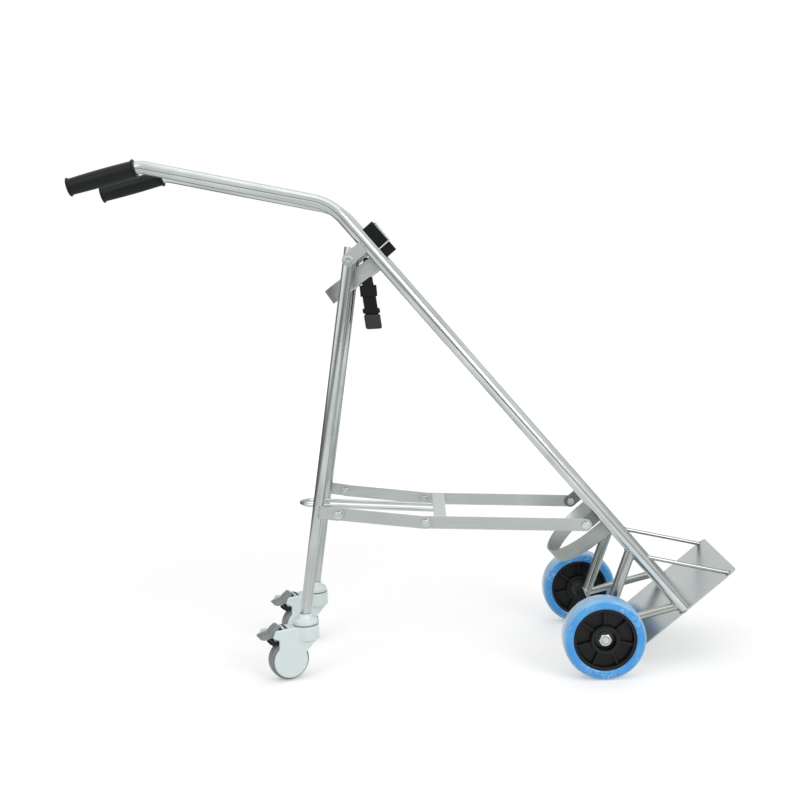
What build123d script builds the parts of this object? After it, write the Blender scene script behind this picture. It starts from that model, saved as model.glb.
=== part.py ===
from build123d import *
import os
from math import cos, hypot, radians, sin

os.makedirs("parts", exist_ok=True)

# A folding trolley for one gas cylinder, in millimetres. The x axis points forward to the toe
# plate, y to the left-hand side and z up. The floor is z = 0 and x = 0 is half way along.

# Rails: two parallel bent tubes, each a long slope, a push arm and a drooping handle
rail_diameter = 25
rail_wall = 1.5
rail_spacing = 242
rail_angle = 50.8
rail_length = 1054
main_bend_radius = 55
push_arm_length = 371
push_arm_rise = 13.0
handle_bend_radius = 30
handle_droop = 13.2

# Grips pushed over the handles
grip_start = 9
grip_length = 136
grip_diameter = 33
grip_flange_diameter = 37
grip_flange_width = 6
grip_end_wall = 4

# Toe plate across the feet of the rails, with a rod on each side to hold its front edge
plate_depth = 252
plate_overhang = 9
plate_thickness = 3
plate_corner_radius = 12
toe_rod_diameter = 8
toe_rod_height = 143
toe_rod_reach = 110

# Saddles: two hoops of flat bar that carry the cylinder between the rails
saddle_width = 30
saddle_thickness = 3
saddle_lip = 5
upper_saddle_below_bend = 140.5
upper_saddle_tilt = 5.7
upper_saddle_arm = 22.5
lower_saddle_height = 225
lower_saddle_arm = 27

# Axle and the two struts that hold it under each rail
axle_to_rail = 153
axle_to_plate = 83
axle_diameter = 15
axle_tube_diameter = 25
upright_diameter = 22
upright_wall = 1.5
upright_height = 164.5
upright_offset = 8
brace_diameter = 16
brace_wall = 1.5
brace_height = 11

# Big wheels: a ribbed core on two ball bearings inside a solid tyre
wheel_diameter = 160
wheel_offset = 61
tyre_width = 46
tyre_edge_radius = 9
core_diameter = 122
rim_width = 42
rim_thickness = 7
web_thickness = 16
rib_count = 7
rib_thickness = 5
rib_width = 34
hub_diameter = 57
hub_width = 50
hub_recess_diameter = 40
hub_recess_depth = 14
bearing_diameter = 35
bearing_width = 11
axle_washer_diameter = 28
axle_washer_thickness = 2
axle_nut_size = 22
axle_nut_height = 10

# Folding legs, each hung from a plate under its rail
leg_diameter = 22
leg_wall = 1.5
leg_inset = 4
leg_angle = 9.4
leg_above_hinge = 25
hinge_below_bend = 101
hinge_drop = 46
hinge_plate_width = 24
hinge_plate_thickness = 4
hinge_plate_top = 4

# Stays: a long link hung from the rail and a short link hung from the leg meet at a knee
stay_width = 25
stay_thickness = 3
stay_tab_thickness = 4
stay_tab_inset = 4.5
stay_tab_top = 5
stay_height = 257.5
stay_drop = 39
leg_bolt_distance = 495.5
leg_bolt_offset = 40.5
leg_tab_root = 2
long_link_length = 316
knee_sag = 9
cross_plate_width = 25
cross_plate_thickness = 3
cross_plate_offset = 29.5
loop_rod_diameter = 8
loop_half_width = 27
loop_reach = 272
loop_tilt = 1.2

# Casters under the legs, each a hooded fork with a foot brake
caster_wheel_diameter = 80
caster_tyre_width = 26
caster_tyre_depth = 9
caster_tyre_edge = 5
caster_core_width = 24
caster_axle_diameter = 8
caster_axle_length = 34
caster_trail = 38
caster_yaw = 24
tyre_headroom = 4
housing_width = 38
housing_cavity = 30
housing_cover_radius = 34.5
housing_top_thickness = 21
housing_head_radius = 27
housing_head_height = 27
housing_edge_radius = 3
hood_front = 18
hood_front_height = 26
hood_shoulder = 31
hood_shoulder_rise = 12
hood_heel = 23
hood_heel_rise = 24
hood_waist = 22
hood_waist_rise = 44
hood_lip = 36
hood_lip_drop = 15
hood_top_end = 29
hood_corner_radius = 5
collar_diameter = 50
collar_height = 12.6
collar_edge_radius = 4
stem_diameter = 12
plug_length = 25
neck_height = 11.5
pedal_slot_start = 14
pedal_ahead = 26
pedal_below_top = 8
pedal_pin_diameter = 5
pedal_width = 28
pedal_edge_radius = 2
brake_block_width = 24
brake_block_edge_radius = 1.5

# Side outlines of the pedal and its brake block: distances behind and above the pedal pivot
pedal_outline = [
    (-9, -5), (-9, 7), (-5, 23), (3, 22), (12, 12), (34, 7), (34, 1), (22, -7), (14, -5), (8, -9), (-4, -9)
]
brake_block_outline = [(-2, -9), (8, -9), (14, -17), (8, -25), (0, -21)]

# Strap: webbing riveted to the left arm of the upper saddle, with a ring and two keepers.
# Heights are along the rail from the middle of the upper saddle, drops are from the rivet.
strap_width = 32
strap_thickness = 2.5
strap_riser_low = -7.5
strap_riser_high = 22.5
strap_riser_back = 21
strap_front_end = 78.5
strap_front_back = 13.5
strap_front_reach = 36
tail_shift = 11.5
tail_above_rivet = 10
tail_bend_drop = 8
tail_bend_length = 37
tail_bend_step = 8
tail_drop = 135
keeper_wall = 2.5
keeper_slack = 0.3
upper_keeper_drop = 64
upper_keeper_length = 24
lower_keeper_drop = 106
lower_keeper_length = 10.5
end_tab_overhang = 5
end_tab_length = 26
ring_wire = 4
ring_low = 22.5
ring_high = 71.5
ring_back = 8
ring_front = 37.5
ring_corner_radius = 5
rivet_diameter = 5
rivet_head_diameter = 10
rivet_head_height = 2
rivet_height = 8.5
rivet_back = 15.5

# Bolts for the hinges and stays
bolt_diameter = 8
bolt_head_size = 13
bolt_head_height = 5.3
nut_height = 6.5

# Clearances: a weld or press seat, a running bearing (radial), between links, beside a moving part
seat_gap = 0.05
running_gap = 0.06
link_gap = 0.4
side_gap = 0.3

sides = {"right": -1, "left": 1}
hex_side_count = 6
upward = (Align.CENTER, Align.CENTER, Align.MIN)
rail_radius = rail_diameter / 2
hinge_height = rail_length - hinge_below_bend
upper_saddle_height = rail_length - upper_saddle_below_bend
leg_radius = leg_diameter / 2
bolt_radius = bolt_diameter / 2

# Distances from the mid-plane to the layers of each side, from the rail outwards and inwards
rail_y = rail_spacing / 2
rail_inner_face = rail_y - rail_radius
saddle_face = rail_inner_face - seat_gap
wheel_y = rail_y + wheel_offset
leg_y = rail_y - leg_inset
leg_inner_side = leg_y - leg_radius
hinge_plate_y = leg_y + leg_radius + side_gap + hinge_plate_thickness / 2
rail_tab_y = rail_y - stay_tab_inset - stay_tab_thickness / 2
long_link_y = rail_tab_y + (stay_tab_thickness + stay_thickness) / 2 + link_gap
short_link_y = long_link_y + stay_thickness + link_gap
leg_tab_y = short_link_y + (stay_thickness + stay_tab_thickness) / 2 + link_gap

# Side view of the rail, first measured from the axle, then moved to the middle of the length
rail_lean = radians(rail_angle)
push_rise = radians(push_arm_rise)
droop = radians(handle_droop)
axle_z = wheel_diameter / 2
foot_ahead = axle_to_rail * sin(rail_lean) + axle_to_plate * cos(rail_lean)
toe_ahead = foot_ahead + plate_depth / 2 * sin(rail_lean) + plate_thickness * cos(rail_lean)
bend_ahead = foot_ahead - rail_length * cos(rail_lean)
handle_ahead = bend_ahead - push_arm_length * cos(push_rise)
grip_end_ahead = handle_ahead - (grip_start + grip_length) * cos(droop)
rear_ahead = grip_end_ahead - grip_flange_diameter / 2 * sin(droop)
axle_x = -(toe_ahead + rear_ahead) / 2
foot_x = axle_x + foot_ahead
foot_z = axle_z + axle_to_rail * cos(rail_lean) - axle_to_plate * sin(rail_lean)


def on_rail(up, out=0.0):
    """Point (x, z) this far up the rail from its foot and this far out in front of its centre."""
    x = foot_x - up * cos(rail_lean) + out * sin(rail_lean)
    z = foot_z + up * sin(rail_lean) + out * cos(rail_lean)
    return (x, z)


def on_strap(up, out):
    """Point (x, z) beside the rail, measured up it from the middle of the upper saddle."""
    return on_rail(upper_saddle_height + up, out)


def step_from(point, length, angle):
    """Point (x, z) reached from another in a direction given in radians above the x axis."""
    return (point[0] + length * cos(angle), point[1] + length * sin(angle))


def distance(start, end):
    return hypot(end[0] - start[0], end[1] - start[1])


def side_plane(y):
    """Upright plane facing the right-hand side; its own axes are x and z."""
    return Plane.XZ.offset(-y)


def bar_plane(start, end, y):
    """Upright plane with its first axis along a bar from start to end."""
    run = (end[0] - start[0], 0, end[1] - start[1])
    return Plane(origin=(start[0], y, start[1]), x_dir=run, z_dir=(0, -1, 0))


def tube_plane(start, end, y):
    """Plane square across a straight tube at its start."""
    run = (end[0] - start[0], 0, end[1] - start[1])
    return Plane(origin=(start[0], y, start[1]), x_dir=(0, 1, 0), z_dir=run)


def cross_rail_plane(up, tilt=0.0):
    """Plane across both rails; its first axis points to the front and its second to the left."""
    x, z = on_rail(up)
    lean = rail_lean + radians(tilt)
    return Plane(origin=(x, 0, z), x_dir=(sin(lean), 0, cos(lean)), z_dir=(-cos(lean), 0, sin(lean)))


axle = (axle_x, axle_z)
foot = on_rail(0)
main_bend = on_rail(rail_length)
handle_bend = step_from(main_bend, -push_arm_length, -push_rise)
grip_near = step_from(handle_bend, -grip_start, droop)
grip_far = step_from(grip_near, -grip_length, droop)
handle_tip = step_from(grip_near, grip_end_wall - grip_length, droop)

housing_top = caster_wheel_diameter + tyre_headroom + housing_top_thickness
hinge = on_rail(hinge_height, -hinge_drop)
leg_down = radians(-90 - leg_angle)
collar_top = housing_top + link_gap + collar_height
leg_length = (hinge[1] - collar_top - neck_height) / cos(radians(leg_angle))
leg_top = step_from(hinge, -leg_above_hinge, leg_down)
leg_foot = step_from(hinge, leg_length, leg_down)
swivel = step_from(leg_foot, neck_height / cos(radians(leg_angle)), leg_down)

stay_pivot = on_rail(stay_height, -stay_drop)
leg_at_bolt = step_from(hinge, leg_bolt_distance, leg_down)
leg_bolt = step_from(leg_at_bolt, leg_bolt_offset, leg_down + radians(90))
stay_span = distance(stay_pivot, leg_bolt)
along_x = (leg_bolt[0] - stay_pivot[0]) / stay_span
along_z = (leg_bolt[1] - stay_pivot[1]) / stay_span
knee_along = (long_link_length**2 - knee_sag**2) ** 0.5
knee_x = stay_pivot[0] + knee_along * along_x - knee_sag * along_z
knee = (knee_x, stay_pivot[1] + knee_along * along_z + knee_sag * along_x)
short_link_length = distance(leg_bolt, knee)

# Rails, each one bent tube from the toe plate to the end of its handle
for side, sign in sides.items():
    with BuildPart() as rail:
        with BuildLine(side_plane(sign * rail_y)) as rail_path:
            FilletPolyline(
                foot, main_bend, handle_bend, handle_tip, radius=[main_bend_radius, handle_bend_radius]
            )
        with BuildSketch(tube_plane(foot, main_bend, sign * rail_y)):
            Circle(rail_radius)
            Circle(rail_radius - rail_wall, mode=Mode.SUBTRACT)
        sweep(path=rail_path.line)
    rail.part.label = f"{side}_rail"
    export_step(rail.part, f"parts/{side}_rail.step")

# Grips, closed at the end and flanged at both ends
for side, sign in sides.items():
    with BuildPart() as grip:
        with BuildSketch(tube_plane(grip_near, grip_far, sign * rail_y)):
            Circle(grip_diameter / 2)
        extrude(amount=grip_length)
        flange_start = tube_plane(grip_near, grip_far, sign * rail_y)
        with BuildSketch(flange_start, flange_start.offset(grip_length - grip_flange_width)):
            Circle(grip_flange_diameter / 2)
        extrude(amount=grip_flange_width)
        with BuildSketch(flange_start):
            Circle(rail_radius + seat_gap)
        extrude(amount=grip_length - grip_end_wall, mode=Mode.SUBTRACT)
    grip.part.label = f"{side}_grip"
    export_step(grip.part, f"parts/{side}_grip.step")

# Toe plate, square to the rails and flat against their feet
with BuildPart() as toe_plate:
    with BuildSketch(cross_rail_plane(-plate_thickness)):
        RectangleRounded(plate_depth, rail_spacing + 2 * plate_overhang, plate_corner_radius)
    extrude(amount=plate_thickness)
toe_plate.part.label = "toe_plate"
export_step(toe_plate.part, "parts/toe_plate.step")

# Toe rods, from the front of each rail down to the front of the plate
rod_start = on_rail(toe_rod_height)
rod_end = on_rail(-toe_rod_diameter, toe_rod_reach + toe_rod_diameter * toe_rod_reach / toe_rod_height)
for side, sign in sides.items():
    with BuildPart() as toe_rod:
        with Locations(tube_plane(rod_start, rod_end, sign * rail_y)):
            Cylinder(toe_rod_diameter / 2, distance(rod_start, rod_end), align=upward)
        with Locations(tube_plane(foot, main_bend, sign * rail_y)):
            Cylinder(rail_radius + seat_gap, rail_length, align=upward, mode=Mode.SUBTRACT)
        split(bisect_by=cross_rail_plane(0), keep=Keep.TOP)
    toe_rod.part.label = f"{side}_toe_rod"
    export_step(toe_rod.part, f"parts/{side}_toe_rod.step")

# Saddles, each a band bent to a half circle with straight arms welded to the rails
saddles = {
    "upper": (upper_saddle_height, upper_saddle_tilt, upper_saddle_arm),
    "lower": (lower_saddle_height, 0, lower_saddle_arm),
}
for place, (height, tilt, arm) in saddles.items():
    inner = saddle_face - saddle_thickness
    with BuildPart() as saddle:
        with BuildSketch(cross_rail_plane(height, tilt)):
            with BuildLine():
                left_arm = [(saddle_lip, saddle_face), (saddle_lip, inner)]
                right_arm = [(saddle_lip, -inner), (saddle_lip, -saddle_face)]
                Polyline((-arm, saddle_face), *left_arm, (-arm, inner))
                ThreePointArc((-arm, inner), (-arm - inner, 0), (-arm, -inner))
                Polyline((-arm, -inner), *right_arm, (-arm, -saddle_face))
                ThreePointArc((-arm, -saddle_face), (-arm - saddle_face, 0), (-arm, saddle_face))
            make_face()
        extrude(amount=saddle_width / 2, both=True)
        if place == "upper":
            with BuildSketch(side_plane(saddle_face)):
                with Locations(on_strap(rivet_height, -rivet_back)):
                    Circle(rivet_diameter / 2 + seat_gap)
            extrude(amount=saddle_thickness + rivet_diameter, both=True, mode=Mode.SUBTRACT)
    saddle.part.label = f"{place}_saddle"
    export_step(saddle.part, f"parts/{place}_saddle.step")

# Axle tube, with the solid axle running through it
hub_inner_face = wheel_y - hub_width / 2
axle_tube_end = hub_inner_face - side_gap - axle_washer_thickness
with BuildPart() as axle_tube:
    with BuildSketch(side_plane(0)):
        with Locations(axle):
            Circle(axle_tube_diameter / 2)
            Circle(axle_diameter / 2 + seat_gap, mode=Mode.SUBTRACT)
    extrude(amount=axle_tube_end, both=True)
axle_tube.part.label = "axle_tube"
export_step(axle_tube.part, "parts/axle_tube.step")

outer_washer = wheel_y + hub_width / 2 - hub_recess_depth + side_gap
axle_nut_seat = outer_washer + axle_washer_thickness
with BuildPart() as axle_rod:
    with BuildSketch(side_plane(0)):
        with Locations(axle):
            Circle(axle_diameter / 2)
    extrude(amount=axle_nut_seat + axle_nut_height, both=True)
axle_rod.part.label = "axle_rod"
export_step(axle_rod.part, "parts/axle_rod.step")

# Axle nuts, with a washer on each side of each hub
with BuildPart() as axle_nuts:
    for sign in sides.values():
        for washer_start in (axle_tube_end, outer_washer):
            with BuildSketch(side_plane(sign * (washer_start + axle_washer_thickness / 2))):
                with Locations(axle):
                    Circle(axle_washer_diameter / 2)
                    Circle(axle_diameter / 2 + seat_gap, mode=Mode.SUBTRACT)
            extrude(amount=(axle_washer_thickness - seat_gap) / 2, both=True)
        with BuildSketch(side_plane(sign * (axle_nut_seat + axle_nut_height / 2))):
            with Locations(axle):
                RegularPolygon(axle_nut_size / 2, hex_side_count, major_radius=False)
                Circle(axle_diameter / 2 + seat_gap, mode=Mode.SUBTRACT)
        extrude(amount=axle_nut_height / 2, both=True)
axle_nuts.part.label = "axle_nuts"
export_step(axle_nuts.part, "parts/axle_nuts.step")

# Axle uprights, from the top of the axle tube to the underside of each rail
upright_low = (axle_x + upright_offset, axle_z)
upright_high = on_rail(upright_height)
for side, sign in sides.items():
    with BuildPart() as upright:
        with Locations(tube_plane(upright_low, upright_high, sign * rail_y)):
            Cylinder(upright_diameter / 2, distance(upright_low, upright_high), align=upward)
            Cylinder(
                upright_diameter / 2 - upright_wall,
                distance(upright_low, upright_high),
                align=upward,
                mode=Mode.SUBTRACT,
            )
        with Locations(tube_plane(foot, main_bend, sign * rail_y)):
            Cylinder(rail_radius + seat_gap, rail_length, align=upward, mode=Mode.SUBTRACT)
        with BuildSketch(side_plane(sign * rail_y)):
            with Locations(axle):
                Circle(axle_tube_diameter / 2 + seat_gap)
        extrude(amount=upright_diameter, both=True, mode=Mode.SUBTRACT)
    upright.part.label = f"{side}_axle_upright"
    export_step(upright.part, f"parts/{side}_axle_upright.step")

# Axle braces, from the front of the axle tube to the foot of each rail
brace_end = on_rail(brace_height)
for side, sign in sides.items():
    with BuildPart() as brace:
        with Locations(tube_plane(axle, brace_end, sign * rail_y)):
            Cylinder(brace_diameter / 2, distance(axle, brace_end), align=upward)
            Cylinder(
                brace_diameter / 2 - brace_wall, distance(axle, brace_end), align=upward, mode=Mode.SUBTRACT
            )
        with Locations(tube_plane(foot, main_bend, sign * rail_y)):
            Cylinder(rail_radius + seat_gap, rail_length, align=upward, mode=Mode.SUBTRACT)
        with Locations(tube_plane(upright_low, upright_high, sign * rail_y)):
            Cylinder(
                upright_diameter / 2 + seat_gap, 2 * distance(upright_low, upright_high), mode=Mode.SUBTRACT
            )
        with BuildSketch(side_plane(sign * rail_y)):
            with Locations(axle):
                Circle(axle_tube_diameter / 2 + seat_gap)
        extrude(amount=brace_diameter, both=True, mode=Mode.SUBTRACT)
    brace.part.label = f"{side}_axle_brace"
    export_step(brace.part, f"parts/{side}_axle_brace.step")

# Tyres of the big wheels
for side, sign in sides.items():
    with BuildPart() as tyre:
        with BuildSketch(side_plane(sign * wheel_y)):
            with Locations(axle):
                Circle(wheel_diameter / 2)
        extrude(amount=tyre_width / 2, both=True)
        fillet(tyre.edges().filter_by(GeomType.CIRCLE), tyre_edge_radius)
        with BuildSketch(side_plane(sign * wheel_y)):
            with Locations(axle):
                Circle(core_diameter / 2)
        extrude(amount=tyre_width, both=True, mode=Mode.SUBTRACT)
    tyre.part.label = f"{side}_tyre"
    export_step(tyre.part, f"parts/{side}_tyre.step")

# Wheel cores: rim, web, ribs and hub, with a bearing seat at each end of the hub
for side, sign in sides.items():
    with BuildPart() as core:
        with BuildSketch(side_plane(sign * wheel_y)):
            with Locations(axle):
                Circle(core_diameter / 2 - seat_gap)
                Circle(core_diameter / 2 - rim_thickness, mode=Mode.SUBTRACT)
        extrude(amount=rim_width / 2, both=True)
        with BuildSketch(side_plane(sign * wheel_y)):
            with Locations(axle):
                Circle(core_diameter / 2 - rim_thickness / 2)
        extrude(amount=web_thickness / 2, both=True)
        with BuildSketch(side_plane(sign * wheel_y)):
            with Locations(axle):
                with PolarLocations(core_diameter / 4, rib_count, start_angle=90):
                    Rectangle(core_diameter / 2 - rim_thickness, rib_thickness)
        extrude(amount=rib_width / 2, both=True)
        with BuildSketch(side_plane(sign * wheel_y)):
            with Locations(axle):
                Circle(hub_diameter / 2)
        extrude(amount=hub_width / 2, both=True)
        with BuildSketch(side_plane(sign * wheel_y)):
            with Locations(axle):
                Circle(bearing_diameter / 2 + seat_gap)
        extrude(amount=hub_width / 2, both=True, mode=Mode.SUBTRACT)
        with BuildSketch(side_plane(sign * (wheel_y + hub_width / 2 - hub_recess_depth / 2))):
            with Locations(axle):
                Circle(hub_recess_diameter / 2)
        extrude(amount=hub_recess_depth / 2, both=True, mode=Mode.SUBTRACT)
    core.part.label = f"{side}_wheel_core"
    export_step(core.part, f"parts/{side}_wheel_core.step")

# Ball bearings, one at each end of the bearing seat of each hub
inner_bearing_y = hub_inner_face + bearing_width / 2
outer_bearing_y = wheel_y + hub_width / 2 - hub_recess_depth - bearing_width / 2
for side, sign in sides.items():
    with BuildPart() as bearings:
        for bearing_y in (inner_bearing_y, outer_bearing_y):
            with BuildSketch(side_plane(sign * bearing_y)):
                with Locations(axle):
                    Circle(bearing_diameter / 2)
                    Circle(axle_diameter / 2 + running_gap, mode=Mode.SUBTRACT)
            extrude(amount=bearing_width / 2, both=True)
    bearings.part.label = f"{side}_wheel_bearings"
    export_step(bearings.part, f"parts/{side}_wheel_bearings.step")

# Hinge plates, welded under the rails outside the legs
for side, sign in sides.items():
    with BuildPart() as hinge_plate:
        hinge_face = bar_plane(hinge, on_rail(hinge_height), sign * hinge_plate_y)
        with BuildSketch(hinge_face):
            Circle(hinge_plate_width / 2)
            with Locations(((hinge_drop - hinge_plate_top) / 2, 0)):
                Rectangle(hinge_drop - hinge_plate_top, hinge_plate_width)
            Circle(bolt_radius + seat_gap, mode=Mode.SUBTRACT)
        extrude(amount=hinge_plate_thickness / 2, both=True)
        with Locations(tube_plane(foot, main_bend, sign * rail_y)):
            Cylinder(rail_radius + seat_gap, rail_length, align=upward, mode=Mode.SUBTRACT)
    hinge_plate.part.label = f"{side}_hinge_plate"
    export_step(hinge_plate.part, f"parts/{side}_hinge_plate.step")

# Stay tabs under the rails
for side, sign in sides.items():
    with BuildPart() as stay_tab:
        tab_face = bar_plane(stay_pivot, on_rail(stay_height), sign * rail_tab_y)
        with BuildSketch(tab_face):
            Circle(stay_width / 2)
            with Locations(((stay_drop - stay_tab_top) / 2, 0)):
                Rectangle(stay_drop - stay_tab_top, stay_width)
            Circle(bolt_radius + seat_gap, mode=Mode.SUBTRACT)
        extrude(amount=stay_tab_thickness / 2, both=True)
        with Locations(tube_plane(foot, main_bend, sign * rail_y)):
            Cylinder(rail_radius + seat_gap, rail_length, align=upward, mode=Mode.SUBTRACT)
    stay_tab.part.label = f"{side}_stay_tab"
    export_step(stay_tab.part, f"parts/{side}_stay_tab.step")

# Frame bolts with their nuts, at the leg hinges and at the rail ends of the stays
hinge_seat = hinge_plate_y + hinge_plate_thickness / 2
hinge_nut_seat = leg_inner_side - side_gap
stay_seat = long_link_y + stay_thickness / 2 + link_gap
stay_nut_seat = rail_tab_y - stay_tab_thickness / 2
frame_pivots = ((hinge, hinge_seat, hinge_nut_seat), (stay_pivot, stay_seat, stay_nut_seat))
with BuildPart() as frame_bolts:
    for sign in sides.values():
        for pivot, seat, nut_seat in frame_pivots:
            with BuildSketch(side_plane(sign * (seat + bolt_head_height / 2))):
                with Locations(pivot):
                    RegularPolygon(bolt_head_size / 2, hex_side_count, major_radius=False)
            extrude(amount=bolt_head_height / 2, both=True)
            shank = seat - nut_seat + nut_height
            with BuildSketch(side_plane(sign * (seat - shank / 2))):
                with Locations(pivot):
                    Circle(bolt_radius)
            extrude(amount=shank / 2, both=True)
            with BuildSketch(side_plane(sign * (nut_seat - nut_height / 2))):
                with Locations(pivot):
                    RegularPolygon(bolt_head_size / 2, hex_side_count, major_radius=False)
                    Circle(bolt_radius + seat_gap, mode=Mode.SUBTRACT)
            extrude(amount=nut_height / 2, both=True)
frame_bolts.part.label = "frame_bolts"
export_step(frame_bolts.part, "parts/frame_bolts.step")

# Legs, straight tubes drilled for the hinge bolts
for side, sign in sides.items():
    with BuildPart() as leg:
        with Locations(tube_plane(leg_top, leg_foot, sign * leg_y)):
            Cylinder(leg_radius, distance(leg_top, leg_foot), align=upward)
            Cylinder(leg_radius - leg_wall, distance(leg_top, leg_foot), align=upward, mode=Mode.SUBTRACT)
        with BuildSketch(side_plane(sign * leg_y)):
            with Locations(hinge):
                Circle(bolt_radius + running_gap)
        extrude(amount=leg_diameter, both=True, mode=Mode.SUBTRACT)
    leg.part.label = f"{side}_leg"
    export_step(leg.part, f"parts/{side}_leg.step")

# Leg plugs, pushed into the feet of the legs, each with an upright stem for its caster
stem_bottom = housing_top - housing_top_thickness
for side, sign in sides.items():
    with BuildPart() as plug:
        with Locations(tube_plane(leg_foot, leg_top, sign * leg_y)):
            Cylinder(leg_radius - leg_wall - seat_gap, plug_length, align=upward)
        with Locations(tube_plane(leg_foot, swivel, sign * leg_y)):
            Cylinder(leg_radius, 2 * neck_height, align=upward)
        split(bisect_by=Plane.XY.offset(collar_top), keep=Keep.TOP)
        with BuildSketch(Plane.XY.offset(stem_bottom)):
            with Locations((swivel[0], sign * leg_y)):
                Circle(stem_diameter / 2)
        extrude(amount=collar_top - stem_bottom)
    plug.part.label = f"{side}_leg_plug"
    export_step(plug.part, f"parts/{side}_leg_plug.step")

# Leg tabs, welded to the front of the legs to carry the short links
for side, sign in sides.items():
    with BuildPart() as leg_tab:
        leg_tab_face = bar_plane(leg_bolt, leg_at_bolt, sign * leg_tab_y)
        with BuildSketch(leg_tab_face):
            Circle(stay_width / 2)
            with Locations(((leg_bolt_offset - leg_tab_root) / 2, 0)):
                Rectangle(leg_bolt_offset - leg_tab_root, stay_width)
            Circle(bolt_radius + seat_gap, mode=Mode.SUBTRACT)
        extrude(amount=stay_tab_thickness / 2, both=True)
        with Locations(tube_plane(leg_top, leg_foot, sign * leg_y)):
            Cylinder(leg_radius + seat_gap, distance(leg_top, leg_foot), align=upward, mode=Mode.SUBTRACT)
    leg_tab.part.label = f"{side}_leg_tab"
    export_step(leg_tab.part, f"parts/{side}_leg_tab.step")

# Leg bolts with their nuts, through the leg tabs and the short links
leg_seat = leg_tab_y + stay_tab_thickness / 2
leg_nut_seat = short_link_y - stay_thickness / 2 - link_gap
leg_shank = leg_seat - leg_nut_seat + nut_height
with BuildPart() as leg_bolts:
    for sign in sides.values():
        with BuildSketch(side_plane(sign * (leg_seat + bolt_head_height / 2))):
            with Locations(leg_bolt):
                RegularPolygon(bolt_head_size / 2, hex_side_count, major_radius=False)
        extrude(amount=bolt_head_height / 2, both=True)
        with BuildSketch(side_plane(sign * (leg_seat - leg_shank / 2))):
            with Locations(leg_bolt):
                Circle(bolt_radius)
        extrude(amount=leg_shank / 2, both=True)
        with BuildSketch(side_plane(sign * (leg_nut_seat - nut_height / 2))):
            with Locations(leg_bolt):
                RegularPolygon(bolt_head_size / 2, hex_side_count, major_radius=False)
                Circle(bolt_radius + seat_gap, mode=Mode.SUBTRACT)
        extrude(amount=nut_height / 2, both=True)
leg_bolts.part.label = "leg_bolts"
export_step(leg_bolts.part, "parts/leg_bolts.step")

# Short links, turning on the leg bolts
for side, sign in sides.items():
    with BuildPart() as short_link:
        with BuildSketch(bar_plane(leg_bolt, knee, sign * short_link_y)):
            with Locations((short_link_length / 2, 0)):
                SlotCenterToCenter(short_link_length, stay_width)
            Circle(bolt_radius + running_gap, mode=Mode.SUBTRACT)
            with Locations((short_link_length, 0)):
                Circle(bolt_radius + seat_gap, mode=Mode.SUBTRACT)
        extrude(amount=stay_thickness / 2, both=True)
    short_link.part.label = f"{side}_short_link"
    export_step(short_link.part, f"parts/{side}_short_link.step")

# Knee bolts, held in the short links
knee_seat = short_link_y + stay_thickness / 2
with BuildPart() as knee_bolts:
    for sign in sides.values():
        with BuildSketch(side_plane(sign * (knee_seat + bolt_head_height / 2))):
            with Locations(knee):
                RegularPolygon(bolt_head_size / 2, hex_side_count, major_radius=False)
        extrude(amount=bolt_head_height / 2, both=True)
        with BuildSketch(side_plane(sign * short_link_y)):
            with Locations(knee):
                Circle(bolt_radius)
        extrude(amount=stay_thickness / 2, both=True)
knee_bolts.part.label = "knee_bolts"
export_step(knee_bolts.part, "parts/knee_bolts.step")

# Long links, turning on the bolts under the rails
for side, sign in sides.items():
    with BuildPart() as long_link:
        with BuildSketch(bar_plane(stay_pivot, knee, sign * long_link_y)):
            with Locations((long_link_length / 2, 0)):
                SlotCenterToCenter(long_link_length, stay_width)
            Circle(bolt_radius + running_gap, mode=Mode.SUBTRACT)
            with Locations((long_link_length, 0)):
                Circle(bolt_radius + seat_gap, mode=Mode.SUBTRACT)
        extrude(amount=stay_thickness / 2, both=True)
    long_link.part.label = f"{side}_long_link"
    export_step(long_link.part, f"parts/{side}_long_link.step")

# Knee nuts, each with its stud in a long link
knee_nut_seat = long_link_y - stay_thickness / 2
with BuildPart() as knee_nuts:
    for sign in sides.values():
        with BuildSketch(side_plane(sign * (knee_nut_seat - nut_height / 2))):
            with Locations(knee):
                RegularPolygon(bolt_head_size / 2, hex_side_count, major_radius=False)
        extrude(amount=nut_height / 2, both=True)
        with BuildSketch(side_plane(sign * long_link_y)):
            with Locations(knee):
                Circle(bolt_radius)
        extrude(amount=stay_thickness / 2, both=True)
knee_nuts.part.label = "knee_nuts"
export_step(knee_nuts.part, "parts/knee_nuts.step")

# Cross plate, welded between the long links flush with their upper edges
stay_frame = bar_plane(knee, stay_pivot, 0)
plate_level = (stay_width - cross_plate_thickness) / 2
with BuildPart() as cross_plate:
    with BuildSketch(stay_frame):
        with Locations((cross_plate_offset, plate_level)):
            Rectangle(cross_plate_width, cross_plate_thickness)
    extrude(amount=knee_nut_seat - seat_gap, both=True)
cross_plate.part.label = "stay_cross_plate"
export_step(cross_plate.part, "parts/stay_cross_plate.step")

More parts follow.
